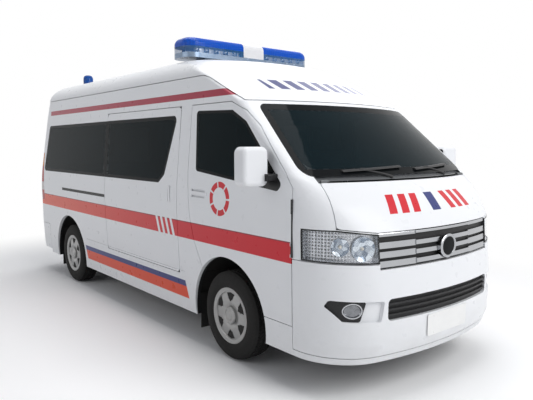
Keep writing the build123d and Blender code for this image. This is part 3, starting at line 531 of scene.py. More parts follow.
def nodeForm(node):
    form = bmesh.new()
    form.from_mesh(frame["nodes"][node].data)
    bmesh.ops.remove_doubles(form, verts=form.verts, dist=0.00002)
    form.normal_update()
    for face in form.faces:
        face.material_index = 0
    return form


def smoothCopy(node, looks=None, form=None, sharp=26.0):
    form = form or nodeForm(node)
    mesh = bpy.data.meshes.new("skin_" + node)
    settle(form, mesh, sharp)
    looks = looks or [lookOf.get(node, slotOf[node])]
    return place("skin_" + node, mesh, looks, bodyOf[node], [node])


# walls and side doors: livery outside, lining inside
wallNodes = ("side_panel_left", "side_panel_right", "sliding_door", "door_left", "door_right")
inward = -0.25  # a normal's outward part below this is lining
for node in wallNodes:
    form = nodeForm(node)
    for face in form.faces:
        middle = face.calc_center_median()
        if face.normal.y * math.copysign(1, middle.y) < inward:
            face.material_index = 1
    smoothCopy(node, ["wallPaint", "cabinLining"], form)
print("walls made:", len(wallNodes))

# panes with a printed black border over the panel behind
paneBorders = {
    "side_glass": 0.031, "door_glass_left": 0.023, "door_glass_right": 0.023, "tailgate_glass": 0.032,
}


def inset(form, faces, thickness, depth=0.0):
    made = bmesh.ops.inset_region(
        form, faces=faces, thickness=thickness, depth=depth, use_even_offset=True, use_boundary=True
    )
    return made["faces"]


def outFacing(node, face):
    if node == "tailgate_glass":
        return face.normal.x < -0.7
    return face.normal.y * face.calc_center_median().y > 0.5


for node, border in paneBorders.items():
    form = nodeForm(node)
    outside = [face for face in form.faces if outFacing(node, face)]
    for face in inset(form, outside, border):
        face.material_index = 1
    smoothCopy(node, [slotOf[node], "fritBlack"], form)
print("panes made:", len(paneBorders))


def turnRound(form, verts, edges, centre, axis, steps):
    bmesh.ops.spin(
        form, geom=verts + edges, cent=centre, axis=axis, angle=math.tau, steps=steps, use_merge=True
    )


# tyres with block tread
tyreSpec = {
    "steps": 72,
    "lift": 0.0075,
    "edgeLift": 0.0045,
    "gap": 0.0024,
    "ribs": (0.074, 0.050, 0.045, 0.016, 0.011),
    "wall": (
        (0.1905, 0.022), (0.207, 0.012), (0.214, 0.006), (0.218, 0.0035), (0.224, 0.0035), (0.228, 0.0015),
        (0.262, 0.0), (0.267, 0.0018), (0.286, 0.0030), (0.290, 0.0050), (0.302, 0.0075), (0.314, 0.0150),
    ),
    "treadFrom": 0.31,
}


def makeTyre(node):
    low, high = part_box(node)
    centre = (low + high) / 2
    half = (high.y - low.y) / 2
    base = (high.z - low.z) / 2 - tyreSpec["lift"]
    outline = [(reach, half - cut) for reach, cut in tyreSpec["wall"]]
    outline += [(base, y) for y in tyreSpec["ribs"]]
    outline += [(reach, -y) for reach, y in reversed(outline)]
    form = bmesh.new()
    verts = [form.verts.new(centre + Vector((0, y, reach))) for reach, y in outline]
    edges = [form.edges.new(pair) for pair in zip(verts, verts[1:] + verts[:1])]
    turnRound(form, verts, edges, centre, (0, 1, 0), tyreSpec["steps"])
    bmesh.ops.recalc_face_normals(form, faces=form.faces)
    ribs = tyreSpec["ribs"]
    spans = [(ribs[0], ribs[1]), (ribs[2], ribs[3]), (ribs[4], -ribs[4])]
    spans += [(-ribs[3], -ribs[2]), (-ribs[1], -ribs[0])]
    for top, bottom in spans:
        middle = centre.y + (top + bottom) / 2
        blocks = []
        for face in form.faces:
            spot = face.calc_center_median()
            if abs(spot.y - middle) < 0.001 and (spot - centre).length > tyreSpec["treadFrom"]:
                blocks.append(face)
        lift = tyreSpec["edgeLift"] if abs(top + bottom) > 0.1 else tyreSpec["lift"]
        bmesh.ops.inset_individual(
            form, faces=blocks, thickness=tyreSpec["gap"], depth=lift, use_even_offset=True
        )
    addForm(node, form, "tyre_rubber", bodyOf[node], nodes=[node], even=False)


wheelNodes = [node for node in bodyOf if node.startswith("tyre_")]
for node in wheelNodes:
    makeTyre(node)
print("tyres made:", len(wheelNodes))

# round hub caps, and black plates on the wheel covers that paint the shade seen through the covers' openings
hubSpec = {
    "rings": (
        (0.0, 0.0080), (0.030, 0.0074), (0.034, 0.0040), (0.046, 0.0040), (0.050, 0.0085), (0.060, 0.0080),
        (0.066, -0.001),
    ),
    "sink": 0.001,
    "steps": 48,
}


def makeHub(node):
    low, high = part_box(node)
    centre = (low + high) / 2
    outward = 1 if centre.y > 0 else -1
    face = (high.y if outward > 0 else low.y) - outward * hubSpec["sink"]
    form = bmesh.new()
    verts = []
    for reach, rise in hubSpec["rings"]:
        verts.append(form.verts.new((centre.x, face + outward * rise, centre.z + reach)))
    edges = [form.edges.new(pair) for pair in zip(verts, verts[1:])]
    turnRound(form, verts, edges, centre, (0, 1, 0), hubSpec["steps"])
    name = "hub_" + node.removeprefix("rim_")
    addForm(name, form, "wheel_silver", bodyOf[node], sharp=25.0)


windowSpec = {
    "count": 6,
    "inner": 0.102,
    "outer": 0.170,
    "bow": 0.003,
    "half": 16.5,
    "side": 0.007,
    "dip": (0.0144, 0.0198),
    "proud": 0.0012,
    "round": 0.006,
}


def makeWindows(node):
    low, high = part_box(node)
    middle = (low + high) / 2
    outward = 1 if middle.y > 0 else -1
    side = (high.y if outward > 0 else low.y) + outward * windowSpec["side"]
    inner, outer = windowSpec["inner"], windowSpec["outer"]
    half = math.radians(windowSpec["half"])
    form = bmesh.new()
    corners = [(inner, 0.0, 0), (outer, -half, 1), (outer + windowSpec["bow"], 0.0, 1), (outer, half, 1)]
    for index in range(windowSpec["count"]):
        turn = math.tau * (index + 0.5) / windowSpec["count"]
        verts = []
        for reach, swing, far in corners:
            y = side - outward * (windowSpec["dip"][far] - windowSpec["proud"])
            verts.append(form.verts.new((
                middle.x + reach * math.cos(turn + swing), y, middle.z + reach * math.sin(turn + swing)
            )))
        # black plate standing for an opening in the cover: painted shade
        form.faces.new(verts)
        bmesh.ops.bevel(
            form, geom=verts, offset=windowSpec["round"], affect="VERTICES",
            segments=3, profile=0.5, material=-1,
        )
    addForm("coverWindows_" + node.removeprefix("rim_"), form, "linerBlack", bodyOf[node])


for node in bodyOf:
    if node.startswith("rim_"):
        makeHub(node)
        makeWindows(node)
print("hub caps and cover windows made")


# small shapes that the added pieces share
def roundEdges(form, edges, offset, segments):
    bmesh.ops.bevel(
        form, geom=edges, offset=offset, affect="EDGES", segments=segments, profile=0.5, material=-1
    )


def block(form, low, high, bevel=0.0, segments=2):
    middle = (Vector(low) + Vector(high)) / 2
    size = Vector(high) - Vector(low)
    spot = Matrix.Translation(middle) @ Matrix.Diagonal((*size, 1.0))
    verts = bmesh.ops.create_cube(form, size=1.0, matrix=spot)["verts"]
    edges = list({edge for vert in verts for edge in vert.link_edges})
    if bevel:
        roundEdges(form, edges, bevel, segments)
    return edges


def slab(form, low, high, axis, corner, rim=0.0):
    axis = Vector(axis)
    before = set(form.faces)
    edges = block(form, low, high)
    upright = []
    for edge in edges:
        run = (edge.verts[0].co - edge.verts[1].co).normalized()
        if abs(run.dot(axis)) > 0.99:
            upright.append(edge)
    roundEdges(form, upright, corner, 6)
    form.normal_update()
    ends = [face for face in form.faces if face not in before and abs(face.normal.dot(axis)) > 0.99]
    if rim:
        edges = list({edge for face in ends for edge in face.edges})
        roundEdges(form, edges, rim, 2)


def lathe(form, rows, spot, axis, steps=40):
    axis = Vector(axis).normalized()
    across = axis.orthogonal().normalized()
    spot = Vector(spot)
    verts = [form.verts.new(spot + across * reach + axis * along) for reach, along in rows]
    edges = [form.edges.new(pair) for pair in zip(verts, verts[1:])]
    turnRound(form, verts, edges, spot, axis, steps)


def rod(form, start, end, radius, tip=None, steps=14):
    run = Vector(end) - Vector(start)
    middle = (Vector(start) + Vector(end)) / 2
    spot = Matrix.Translation(middle) @ run.to_track_quat("Z", "Y").to_matrix().to_4x4()
    bmesh.ops.create_cone(
        form, cap_ends=True, segments=steps, radius1=radius, radius2=tip or radius,
        depth=run.length, matrix=spot,
    )


# reflector dishes inside the headlamps
headlamp = {
    "corner": (2.170, 0.510),
    "radius": 0.427,
    "dishes": ((25.0, 0.956, 0.073), (45.0, 0.968, 0.052)),
    "rimDepth": 0.022,
    "deep": 0.016,
}


def makeDishes(side):
    form = bmesh.new()
    bulbs = bmesh.new()
    deep = headlamp["deep"]
    for turn, z, rim in headlamp["dishes"]:
        angle = math.radians(turn)
        normal = Vector((math.cos(angle), side * math.sin(angle), 0.0))
        spot = Vector((headlamp["corner"][0], side * headlamp["corner"][1], z))
        spot += normal * (headlamp["radius"] - headlamp["rimDepth"])
        rows = [(0.011, -deep), (rim * 0.4, -deep * 0.85), (rim * 0.7, -deep * 0.5)]
        rows += [(rim * 0.9, -deep * 0.18), (rim, 0.0), (rim + 0.003, 0.001), (rim + 0.004, -0.004)]
        lathe(form, rows, spot, normal)
        bulb = [(0.0, -0.001), (0.005, -0.002), (0.009, -0.006), (0.0095, -0.010)]
        bulb += [(0.011, -0.012), (0.011, -deep)]
        lathe(bulbs, bulb, spot, normal, 20)
    end = "left" if side > 0 else "right"
    addForm("lampDishes_" + end, form, "facetReflectionDish", "body", sharp=50.0)
    addForm("lampBulbs_" + end, bulbs, "bulbGlass", "body", sharp=50.0)


for side in (1, -1):
    makeDishes(side)
print("headlamp dishes made")

# fog lamps with a rim and a sunk reflector
fog = {"facing": 0.35, "rim": 0.007, "wall": 0.006, "deep": -0.009}
form = nodeForm("fog_lamps")
fogFaces = [face for face in form.faces if face.normal.x > fog["facing"]]
for face in inset(form, fogFaces, fog["rim"]):
    face.material_index = 1
inset(form, fogFaces, fog["wall"], fog["deep"])
smoothCopy("fog_lamps", ["fogGlass", "chrome_trim"], form)
print("fog lamps made")

# grille bars: chrome fronts; upper and lower faces get black plastic as painted shade in the grille recess
form = nodeForm("grille_bars")
for face in form.faces:
    face.material_index = 1 if abs(face.normal.z) > 0.6 else 0
smoothCopy("grille_bars", ["chrome_trim", "black_plastic"], form)

# rear beacons with a stepped foot and a dome
beacon = {"x": -1.870, "y": 0.560, "foot": 0.066, "dome": 0.056, "top": 2.402}
form = bmesh.new()
foot, dome, top = beacon["foot"], beacon["dome"], beacon["top"]
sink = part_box("rear_beacons")[0].z
rows = [(foot, sink - top), (foot, -0.112), (foot - 0.003, -0.109), (dome + 0.002, -0.109), (dome, -0.106)]
rows += [(dome, -0.045), (dome * 0.93, -0.024), (dome * 0.76, -0.0095), (dome * 0.45, -0.002), (0.0, 0.0)]
for y in (-beacon["y"], beacon["y"]):
    lathe(form, rows, (beacon["x"], y, top), (0, 0, 1), 44)
addForm("rearBeacons", form, "beaconBlue", "body", nodes=["rear_beacons"])
print("grille bars and beacons made")

# blank number plate and blank grille badge
plate = {
    "low": (2.6832, -0.220, 0.359),
    "high": (2.6866, 0.220, 0.499),
    "border": 0.006,
    "bolts": (0.150, 0.054),
    "bolt": 0.0065,
}
plateForm = bmesh.new()
slab(plateForm, plate["low"], plate["high"], (1, 0, 0), 0.010, 0.0006)
plateFace = max(plateForm.faces, key=lambda face: face.calc_center_median().x)
bmesh.ops.inset_individual(plateForm, faces=[plateFace], thickness=plate["border"])
bmesh.ops.inset_individual(plateForm, faces=[plateFace], thickness=0.0015, depth=-0.0009)
plateMid = (Vector(plate["low"]) + Vector(plate["high"])) / 2
reach = plate["bolt"]
rows = [(0.0, 0.0022), (reach * 0.6, 0.0020), (reach, 0.0008), (reach, 0.0)]
for y in (-1, 1):
    for z in (-1, 1):
        spot = (plate["high"][0] - 0.0010, y * plate["bolts"][0], plateMid.z + z * plate["bolts"][1])
        lathe(plateForm, rows, spot, (1, 0, 0), 16)
addForm("numberPlate", plateForm, "plateWhite", "body")

badge = {
    "spot": (2.6765, 0.0, 0.921),
    "size": (0.088, 0.079),
    "rim": ((0.76, -0.001), (0.78, 0.0035), (0.84, 0.0050), (0.93, 0.0045), (0.995, 0.0), (0.995, -0.003)),
    "face": ((0.0, 0.0022), (0.40, 0.0018), (0.77, 0.0006)),
}
for name, look, slot, rows in (
    ("badgeRim", "chrome_trim", "chrome_trim", badge["rim"]),
    ("badgeFace", "fritBlack", "black_plastic", badge["face"]),
):
    form = bmesh.new()
    spot = Vector(badge["spot"])
    lathe(form, rows, spot, (1, 0, 0), 56)
    bmesh.ops.scale(form, vec=(1.0, *badge["size"]), space=Matrix.Translation(-spot), verts=form.verts)
    addForm(name, form, look, "body")
print("plate and badge made")

# wiper arms from the cowl to the blades
screen = {"reach": 2.400, "foot": 1.372, "run": 0.575, "rise": 0.513, "inset": 0.021}
wiper = {
    "pivots": (-0.20, 0.46),
    "reach": -0.23,
    "pivotZ": 1.362,
    "bladeZ": 1.419,
    "lifts": (-0.030, 0.014),
    "cap": 0.015,
    "raise": Vector((0.006, 0.0, 0.006)),
}


def screenSpot(y, z, lift):
    reach = screen["reach"] - screen["run"] * (z - screen["foot"]) / screen["rise"]
    return Vector((math.sqrt(reach * reach - y * y) - screen["inset"] + lift, y, z))


armForm = bmesh.new()
for y in wiper["pivots"]:
    start = screenSpot(y, wiper["pivotZ"], wiper["lifts"][0])
    end = screenSpot(y + wiper["reach"], wiper["bladeZ"], wiper["lifts"][1])
    cap = wiper["cap"]
    rows = [(0.0, 0.016), (cap * 0.6, 0.015), (cap, 0.009), (cap, -0.012)]
    lathe(armForm, rows, start, (0.67, 0.0, 0.74), 24)
    knee = start.lerp(end, 0.35) + wiper["raise"]
    rod(armForm, start + wiper["raise"], knee, 0.011, 0.009)
    rod(armForm, knee, end, 0.009, 0.006)
    block(armForm, end - Vector((0.010, 0.022, 0.008)), end + Vector((0.004, 0.022, 0.008)), 0.003)
addForm("wiperArms", armForm, "black_plastic", "body")
print("wiper arms made")

# mirror faces
mirror = {"spot": (1.8925, 1.062, 1.440), "half": (0.080, 0.103), "corner": 0.036}
for side, end in ((1, "left"), (-1, "right")):
    form = bmesh.new()
    x, y, z = mirror["spot"]
    y *= side
    wide, tall = mirror["half"]
    low = (x - 0.003, y - wide, z - tall)
    high = (x + 0.004, y + wide, z + tall)
    slab(form, low, high, (1, 0, 0), mirror["corner"], 0.0015)
    addForm("mirrorFace_" + end, form, "mirrorGlass", "front_door_" + end)
print("mirror faces made")

# reflectors and tray under the light bar's clear skirt
lightBar = {
    "x": 0.465,
    "z": 2.387,
    "rows": (0.185, 0.285, 0.385, 0.485, 0.585),
    "out": 0.105,
    "rim": 0.020,
    "deep": 0.022,
    "tray": ((0.345, -0.655, 2.3605), (0.585, 0.655, 2.3665)),
    "posts": (2.366, 2.402),
}
barForm = bmesh.new()
slab(barForm, *lightBar["tray"], (0, 0, 1), 0.085, 0.001)
rim = lightBar["rim"]
deep = lightBar["deep"]
rows = [(0.004, -deep), (rim * 0.5, -deep * 0.75), (rim * 0.85, -deep * 0.35), (rim, 0.0)]
rows.append((rim + 0.002, -0.002))
low, high = lightBar["posts"]
for way in (1, -1):
    x = lightBar["x"] + way * lightBar["out"]
    for y in [turn * row for row in lightBar["rows"] for turn in (1, -1)]:
        lathe(barForm, rows, (x, y, lightBar["z"]), (way, 0, 0), 24)
        block(barForm, (x - 0.004, y + 0.026, low), (x + 0.004, y + 0.074, high), 0.002)
addForm("barReflectors", barForm, "lampDish", "body", sharp=45.0)
print("light bar inside made")

# padded seats, bench and mattress, swelled by cloth
padSet = {"pressure": 4.0, "frames": 12, "mass": 0.3}


def bakedMesh(piece):
    return bpy.data.meshes.new_from_object(piece.evaluated_get(bpy.context.evaluated_depsgraph_get()))


def swellPad(name, form, cap, flatBelow, voxel=0.016):
    bmesh.ops.recalc_face_normals(form, faces=form.faces)
    mesh = bpy.data.meshes.new(name)
    form.to_mesh(mesh)
    form.free()
    piece = bpy.data.objects.new(name + "Blank", mesh)
    bpy.context.scene.collection.objects.link(piece)
    grid = piece.modifiers.new("evenGrid", "REMESH")
    grid.mode = "VOXEL"
    grid.voxel_size = voxel
    start = bakedMesh(piece)
    piece.modifiers.remove(grid)
    piece.data = start
    cloth = piece.modifiers.new("swell", "CLOTH")
    cloth.settings.quality = 4
    cloth.settings.mass = padSet["mass"]
    cloth.settings.use_pressure = True
    cloth.settings.uniform_pressure_force = padSet["pressure"]
    cloth.settings.effector_weights.gravity = 0.0
    for step in range(1, padSet["frames"] + 1):
        bpy.context.scene.frame_set(step)
    swelled = bakedMesh(piece)
    for before, after in zip(start.vertices, swelled.vertices):
        move = after.co - before.co
        if before.co.z < flatBelow:
            move.z = max(move.z, 0.0)
        if move.length > cap:
            move *= cap / move.length
        before.co += move
    bpy.context.scene.frame_set(1)
    bpy.data.meshes.remove(swelled)
    bpy.data.objects.remove(piece)
    bpy.data.meshes.remove(mesh)
    return start


def sewChannels(mesh, lines, normal, depth):
    # lines: axis index, place, half width of the groove
    for vert in mesh.vertices:
        for axis, spot, wide in lines:
            pull = math.exp(-((vert.co[axis] - spot) / wide) ** 2)
            facing = max(0.0, vert.normal.dot(normal))
            vert.co -= normal * (depth * pull * facing)


def finishPad(name, mesh, shift, look, nodes):
    copy = mesh.copy()
    copy.name = name
    copy.transform(Matrix.Translation(shift))
    for face in copy.polygons:
        face.use_smooth = True
    piece = place(name, copy, [look], "body", nodes, False)
    smooth = piece.modifiers.new("roundOff", "SUBSURF")
    smooth.levels = 1
    smooth.render_levels = 1


seat = {
    "sides": (("left", 0.420), ("right", -0.420)),
    "cushion": ((1.205, -0.222, 0.862), (1.668, 0.222, 0.948)),
    "backFoot": (1.248, 0.930),
    "backTop": (1.118, 1.535),
    "backHalf": (0.210, 0.040),
    "head": ((1.060, -0.118, 1.572), (1.122, 0.118, 1.726)),
}
form = bmesh.new()
block(form, *seat["cushion"], 0.030, 3)
cushionMesh = swellPad("seatCushion", form, 0.011, 0.875)
seams = [(1, -0.135, 0.010), (1, 0.135, 0.010), (0, 1.520, 0.010)]
sewChannels(cushionMesh, seams, Vector((0, 0, 1)), 0.010)
form = bmesh.new()
foot = Vector((seat["backFoot"][0], 0.0, seat["backFoot"][1]))
top = Vector((seat["backTop"][0], 0.0, seat["backTop"][1]))
lean = math.atan2(foot.x - top.x, top.z - foot.z)
wide, thick = seat["backHalf"]
tall = (top - foot).length / 2
block(form, (-thick, -wide, -tall), (thick, wide, tall), 0.030, 3)
bmesh.ops.rotate(form, cent=(0, 0, 0), matrix=Matrix.Rotation(-lean, 3, "Y"), verts=form.verts)
bmesh.ops.translate(form, vec=(foot + top) / 2, verts=form.verts)
backMesh = swellPad("seatBack", form, 0.010, 0.0)
facing = Vector((math.cos(lean), 0, math.sin(lean)))
sewChannels(backMesh, [(1, -0.130, 0.010), (1, 0.130, 0.010), (2, 1.400, 0.010)], facing, 0.010)
form = bmesh.new()
block(form, *seat["head"], 0.024, 3)
headMesh = swellPad("headrest", form, 0.007, 0.0, 0.012)
for end, y in seat["sides"]:
    shift = Vector((0, y, 0))
    finishPad("seatCushion_" + end, cushionMesh, shift, "seat_cloth", ["front_seats"])
    finishPad("seatBack_" + end, backMesh, shift, "seat_cloth", [])
    finishPad("headrest_" + end, headMesh, shift, "seat_cloth", [])
    form = bmesh.new()
    slab(form, (1.190, y - 0.228, 0.827), (1.672, y + 0.228, 0.866), (0, 0, 1), 0.04, 0.006)
    for across in (-0.055, 0.055):
        rod(form, (1.102, y + across, 1.520), (1.094, y + across, 1.600), 0.006)
    block(form, (1.196, y - 0.236, 0.860), (1.262, y - 0.222, 0.960), 0.006)
    block(form, (1.196, y + 0.222, 0.860), (1.262, y + 0.236, 0.960), 0.006)
    addForm("seatFrame_" + end, form, "dash_plastic", "body")
print("seats made")

bench = {
    "low": (-2.142, -0.792, 0.880),
    "high": (-0.708, -0.388, 0.962),
    "parts": 3,
    "gap": 0.010,
    "cut": 0.878,
}
form = bmesh.new()
run = (bench["high"][0] - bench["low"][0]) / bench["parts"]
low, high = bench["low"], bench["high"]
start = low[0] + bench["gap"]
end = low[0] + run - bench["gap"]
block(form, (start, low[1], low[2]), (end, high[1], high[2]), 0.028, 3)
benchMesh = swellPad("benchPad", form, 0.010, 0.892)
middle = (low[1] + high[1]) / 2
sewChannels(benchMesh, [(1, middle, 0.010), (0, low[0] + run / 2, 0.010)], Vector((0, 0, 1)), 0.010)
for index in range(bench["parts"]):
    shift = Vector((index * run, 0, 0))
    finishPad("benchPad_" + str(index + 1), benchMesh, shift, "bench_vinyl", [])
form = nodeForm("bench")
parts = [*form.verts, *form.edges, *form.faces]
cut = bmesh.ops.bisect_plane(
    form, geom=parts, plane_co=(0, 0, bench["cut"]), plane_no=(0, 0, 1), clear_outer=True
)
rimEdges = [part for part in cut["geom_cut"] if isinstance(part, bmesh.types.BMEdge)]
bmesh.ops.holes_fill(form, edges=rimEdges, sides=0)
addForm("benchBox", form, "cabinet_wood", "body", nodes=["bench"])

stretcher = {
    "low": (-2.236, -0.166, 0.918),
    "high": (-0.364, 0.356, 0.970),
    "rails": (-0.150, 0.340),
    "ends": (-2.225, -0.375),
    "legs": (-1.95, -0.65),
    "railZ": 0.902,
    "footZ": 0.650,
    "wheel": 0.060,
    "ground": 0.5605,
}
form = bmesh.new()
block(form, stretcher["low"], stretcher["high"], 0.020, 3)
mattressMesh = swellPad("mattress", form, 0.008, 0.925, 0.024)
seams = [(0, -1.62, 0.012), (0, -0.98, 0.012)]
sewChannels(mattressMesh, seams, Vector((0, 0, 1)), 0.012)
finishPad("mattress", mattressMesh, Vector((0, 0, 0)), "mattressBlue", [])
form = bmesh.new()
back, front = stretcher["ends"]
right, left = stretcher["rails"]
railZ, footZ = stretcher["railZ"], stretcher["footZ"]
for y in (right, left):
    rod(form, (back, y, railZ), (front, y, railZ), 0.014)
    for x in stretcher["legs"]:
        knee = (x + 0.25, y, 0.700)
        rod(form, (x, y, railZ), knee, 0.011)
        rod(form, knee, (x, y, footZ), 0.011)
for x in (back, (back + front) / 2, front):
    rod(form, (x, right, railZ), (x, left, railZ), 0.012)
for x in stretcher["legs"]:
    rod(form, (x, right, footZ), (x, left, footZ), 0.012)
block(form, (back + 0.02, right + 0.03, 0.900), (front - 0.02, left - 0.03, 0.914), 0.004)
addForm("trolleyFrame", form, "exhaust_steel", "body", nodes=["stretcher"])
form = bmesh.new()
wheel = stretcher["wheel"]
hubZ = stretcher["ground"] + wheel
rows = [(0.008, 0.014), (wheel * 0.7, 0.012), (wheel * 0.75, 0.016), (wheel, 0.010)]
rows += [(reach, -along) for reach, along in reversed(rows)]
for x in stretcher["legs"]:
    for y in (right, left):
        lathe(form, rows, (x, y, hubZ), (0, 1, 0), 28)
        block(form, (x - 0.010, y - 0.022, hubZ), (x + 0.010, y - 0.018, 0.655))
        block(form, (x - 0.010, y + 0.018, hubZ), (x + 0.010, y + 0.022, 0.655))
addForm("trolleyWheels", form, "black_plastic", "body")

cabinet = {
    "low": (0.205, 0.414, 0.600),
    "high": (0.865, 0.4205, 1.680),
    "columns": 2,
    "rows": 3,
    "gap": 0.006,
}
form = bmesh.new()
pulls = bmesh.new()
low, high = cabinet["low"], cabinet["high"]
wide = (high[0] - low[0]) / cabinet["columns"]
tall = (high[2] - low[2]) / cabinet["rows"]
for column in range(cabinet["columns"]):
    for row in range(cabinet["rows"]):
        gap = cabinet["gap"]
        x = low[0] + column * wide + gap
        z = low[2] + row * tall + gap
        far = (x + wide - 2 * gap, high[1], z + tall - 2 * gap)
        block(form, (x, low[1] - 0.010, z), far, 0.003)
        grip = x + (wide - 0.045 if column == 0 else 0.020)
        near = (grip, low[1] - 0.028, z + 0.10)
        slab(pulls, near, (grip + 0.014, low[1] - 0.008, z + 0.22), (0, 0, 1), 0.005)
addForm("cabinetDoors", form, "cabinet_wood", "body")
addForm("cabinetPulls", pulls, "chrome_trim", "body")
print("patient space fitted")

# cab fittings: dash face, door rests and the caps below the bonnet
cab = {
    "vents": (-0.72, -0.13, 0.13, 0.70),
    "ventHalf": (0.062, 0.030),
    "ventZ": 1.120,
    "wheelY": 0.420,
    "rest": ((1.30, 0.838, 0.985), (1.78, 0.896, 1.035)),
    "caps": ((-0.36, 0.030), (-0.22, 0.024), (0.30, 0.034)),
    "capZ": 1.262,
    "capDepth": 0.049,
}


def dashX(z):  # leaning rear face of the dash
    return 1.990 + (z - 1.000) * 0.389


form = bmesh.new()
slats = bmesh.new()
wide, tall = cab["ventHalf"]
ventZ = cab["ventZ"]
x = dashX(ventZ)
for y in cab["vents"]:
    low = (x - 0.012, y - wide, ventZ - tall)
    slab(form, low, (x + 0.040, y + wide, ventZ + tall), (1, 0, 0), 0.012, 0.003)
    for step in range(4):
        z = 1.102 + step * 0.012
        low = (x - 0.016, y - wide + 0.010, z - 0.0025)
        block(slats, low, (x - 0.006, y + wide - 0.010, z + 0.0025), 0.001)
shelfX, hoodX = dashX(1.05), dashX(1.16)
wheelY = cab["wheelY"]
slab(form, (shelfX - 0.022, -0.150, 0.990), (shelfX + 0.050, 0.150, 1.080), (1, 0, 0), 0.014, 0.003)
low = (hoodX - 0.030, wheelY - 0.190, 1.135)
slab(form, low, (2.160, wheelY + 0.190, 1.262), (1, 0, 0), 0.050, 0.006)
slab(form, (shelfX - 0.010, -0.640, 0.990), (shelfX + 0.050, -0.240, 1.070), (1, 0, 0), 0.014, 0.003)
addForm("dashFittings", form, "dash_plastic", "body")
addForm("ventSlats", slats, "black_plastic", "body")
dial = bmesh.new()
for across, reach in ((-0.075, 0.044), (0.075, 0.044), (0.0, 0.024)):
    spot = (hoodX - 0.031, wheelY + across, 1.190)
    rows = [(0.0, 0.0), (reach * 0.12, 0.001), (reach * 0.14, 0.0), (reach * 0.9, 0.0)]
    rows += [(reach, 0.004), (reach * 1.06, 0.0), (reach * 1.06, -0.004)]
    lathe(dial, rows, spot, (-1, 0, 0), 32)
addForm("dials", dial, "chrome_trim", "body")
for side, end in ((1, "left"), (-1, "right")):
    form = bmesh.new()
    low, high = cab["rest"]
    spans = sorted((side * low[1], side * high[1]))
    slab(form, (low[0], spans[0], low[2]), (high[0], spans[1], high[2]), (0, 0, 1), 0.020, 0.008)
    spans = sorted((side * 0.866, side * 0.892))
    slab(form, (1.62, spans[0], 1.085), (1.76, spans[1], 1.125), (0, 1, 0), 0.016, 0.004)
    addForm("doorRest_" + end, form, "dash_plastic", "front_door_" + end)
caps = bmesh.new()
for y, reach in cab["caps"]:
    z = cab["capZ"]
    bow = screen["reach"] - math.sqrt(screen["reach"] ** 2 - y * y)
    x = 2.379 + (screen["foot"] - z) - bow - cab["capDepth"] * 1.414
    rows = [(0.0, 0.014), (reach * 0.8, 0.014), (reach, 0.010), (reach, 0.0), (reach * 0.9, -0.010)]
    lathe(caps, rows, (x, y, z), (0.707, 0.0, 0.707), 24)
addForm("serviceCaps", caps, "black_plastic", "body")
print("cab fittings made")

# liners that close each arch ahead of and behind the wheel
liner = {
    "radius": 0.466,
    "wall": 0.003,
    "sweep": (-8.0, 32.0),
    "steps": 10,
    "across": (0.62, 0.886),
    "edge": 0.366,
}


def addLiner(form, centre, end, side):
    low, high = liner["sweep"]
    inner, outer = liner["across"]
    thick = liner["radius"] + liner["wall"]
    rings = []
    for step in range(liner["steps"] + 1):
        turn = math.radians(low + (high - low) * step / liner["steps"])
        edge = liner["edge"] / math.cos(turn)  # the inner plate ends at an upright line
        back = inner - liner["wall"]
        section = [(liner["radius"], inner), (liner["radius"], outer), (thick, outer)]
        section += [(thick, back), (edge, back), (edge, inner)]
        ring = []
        for reach, y in section:
            x = centre + end * reach * math.cos(turn)
            ring.append(form.verts.new((x, side * y, arch["height"] + reach * math.sin(turn))))
        rings.append(ring)
    for near, far in zip(rings, rings[1:]):
        for corner in range(len(near)):
            form.faces.new((near[corner], near[corner - 1], far[corner - 1], far[corner]))
    form.faces.new(rings[0])
    form.faces.new(rings[-1])


linerForm = bmesh.new()
for centre in arch["centres"]:
    for end in (1, -1):
        for side in (1, -1):
            addLiner(linerForm, centre, end, side)
addForm("archLiners", linerForm, "linerBlack", "body")
print("arch liners made")

madeAbove = {"front_seats", "bench", "stretcher", "fog_lamps", "grille_bars", "rear_beacons"}
madeAbove.update(paneBorders, wheelNodes, wallNodes)
for node in bodyOf:
    if node not in madeAbove:
        smoothCopy(node)
print("smooth copies made")

# stage, light and camera
stageSet = {
    "floor": (0.92, 0.92, 0.92),
    "seenFloor": (1.0, 1.0, 1.0),
    "fadeFrom": 2.7,
    "fadeTo": 4.4,
    "sky": (0.90, 0.93, 1.0),
    "skyPower": 0.30,
    "cameraAt": (4.712, -3.213, 1.575),
    "yaw": 140.62,
    "pitch": -5.61,
    "lens": 37.73,
}
floorForm = bmesh.new()
bmesh.ops.create_grid(floorForm, x_segments=1, y_segments=1, size=60.0)
floorMesh = bpy.data.meshes.new("floor")
floorForm.to_mesh(floorMesh)
floorForm.free()
floor = bpy.data.objects.new("floor", floorMesh)
bpy.context.scene.collection.objects.link(floor)
floorLook = Mix("paleFloor", Roughness=0.9, Specular_IOR_Level=0.1)
speckle = floorLook.noise(0.6, 3.0)
paleFloor = floorLook.blend(speckle, stageSet["floor"], tuple(part * 0.985 for part in stageSet["floor"]))
reach = (floorLook.x * floorLook.x / 1.6 + floorLook.y * floorLook.y).math("SQRT")
easing = {"interpolation_type": "SMOOTHSTEP"}
fade = floorLook.node("ShaderNodeMapRange", easing, reach, stageSet["fadeFrom"], stageSet["fadeTo"])


def seenDirect(tree):
    path = tree.nodes.new("ShaderNodeLightPath")
    flags = []
    for key in ("Is Camera Ray", "Is Glossy Ray", "Is Transmission Ray"):
        flags.append(path.outputs[key])
    return flags


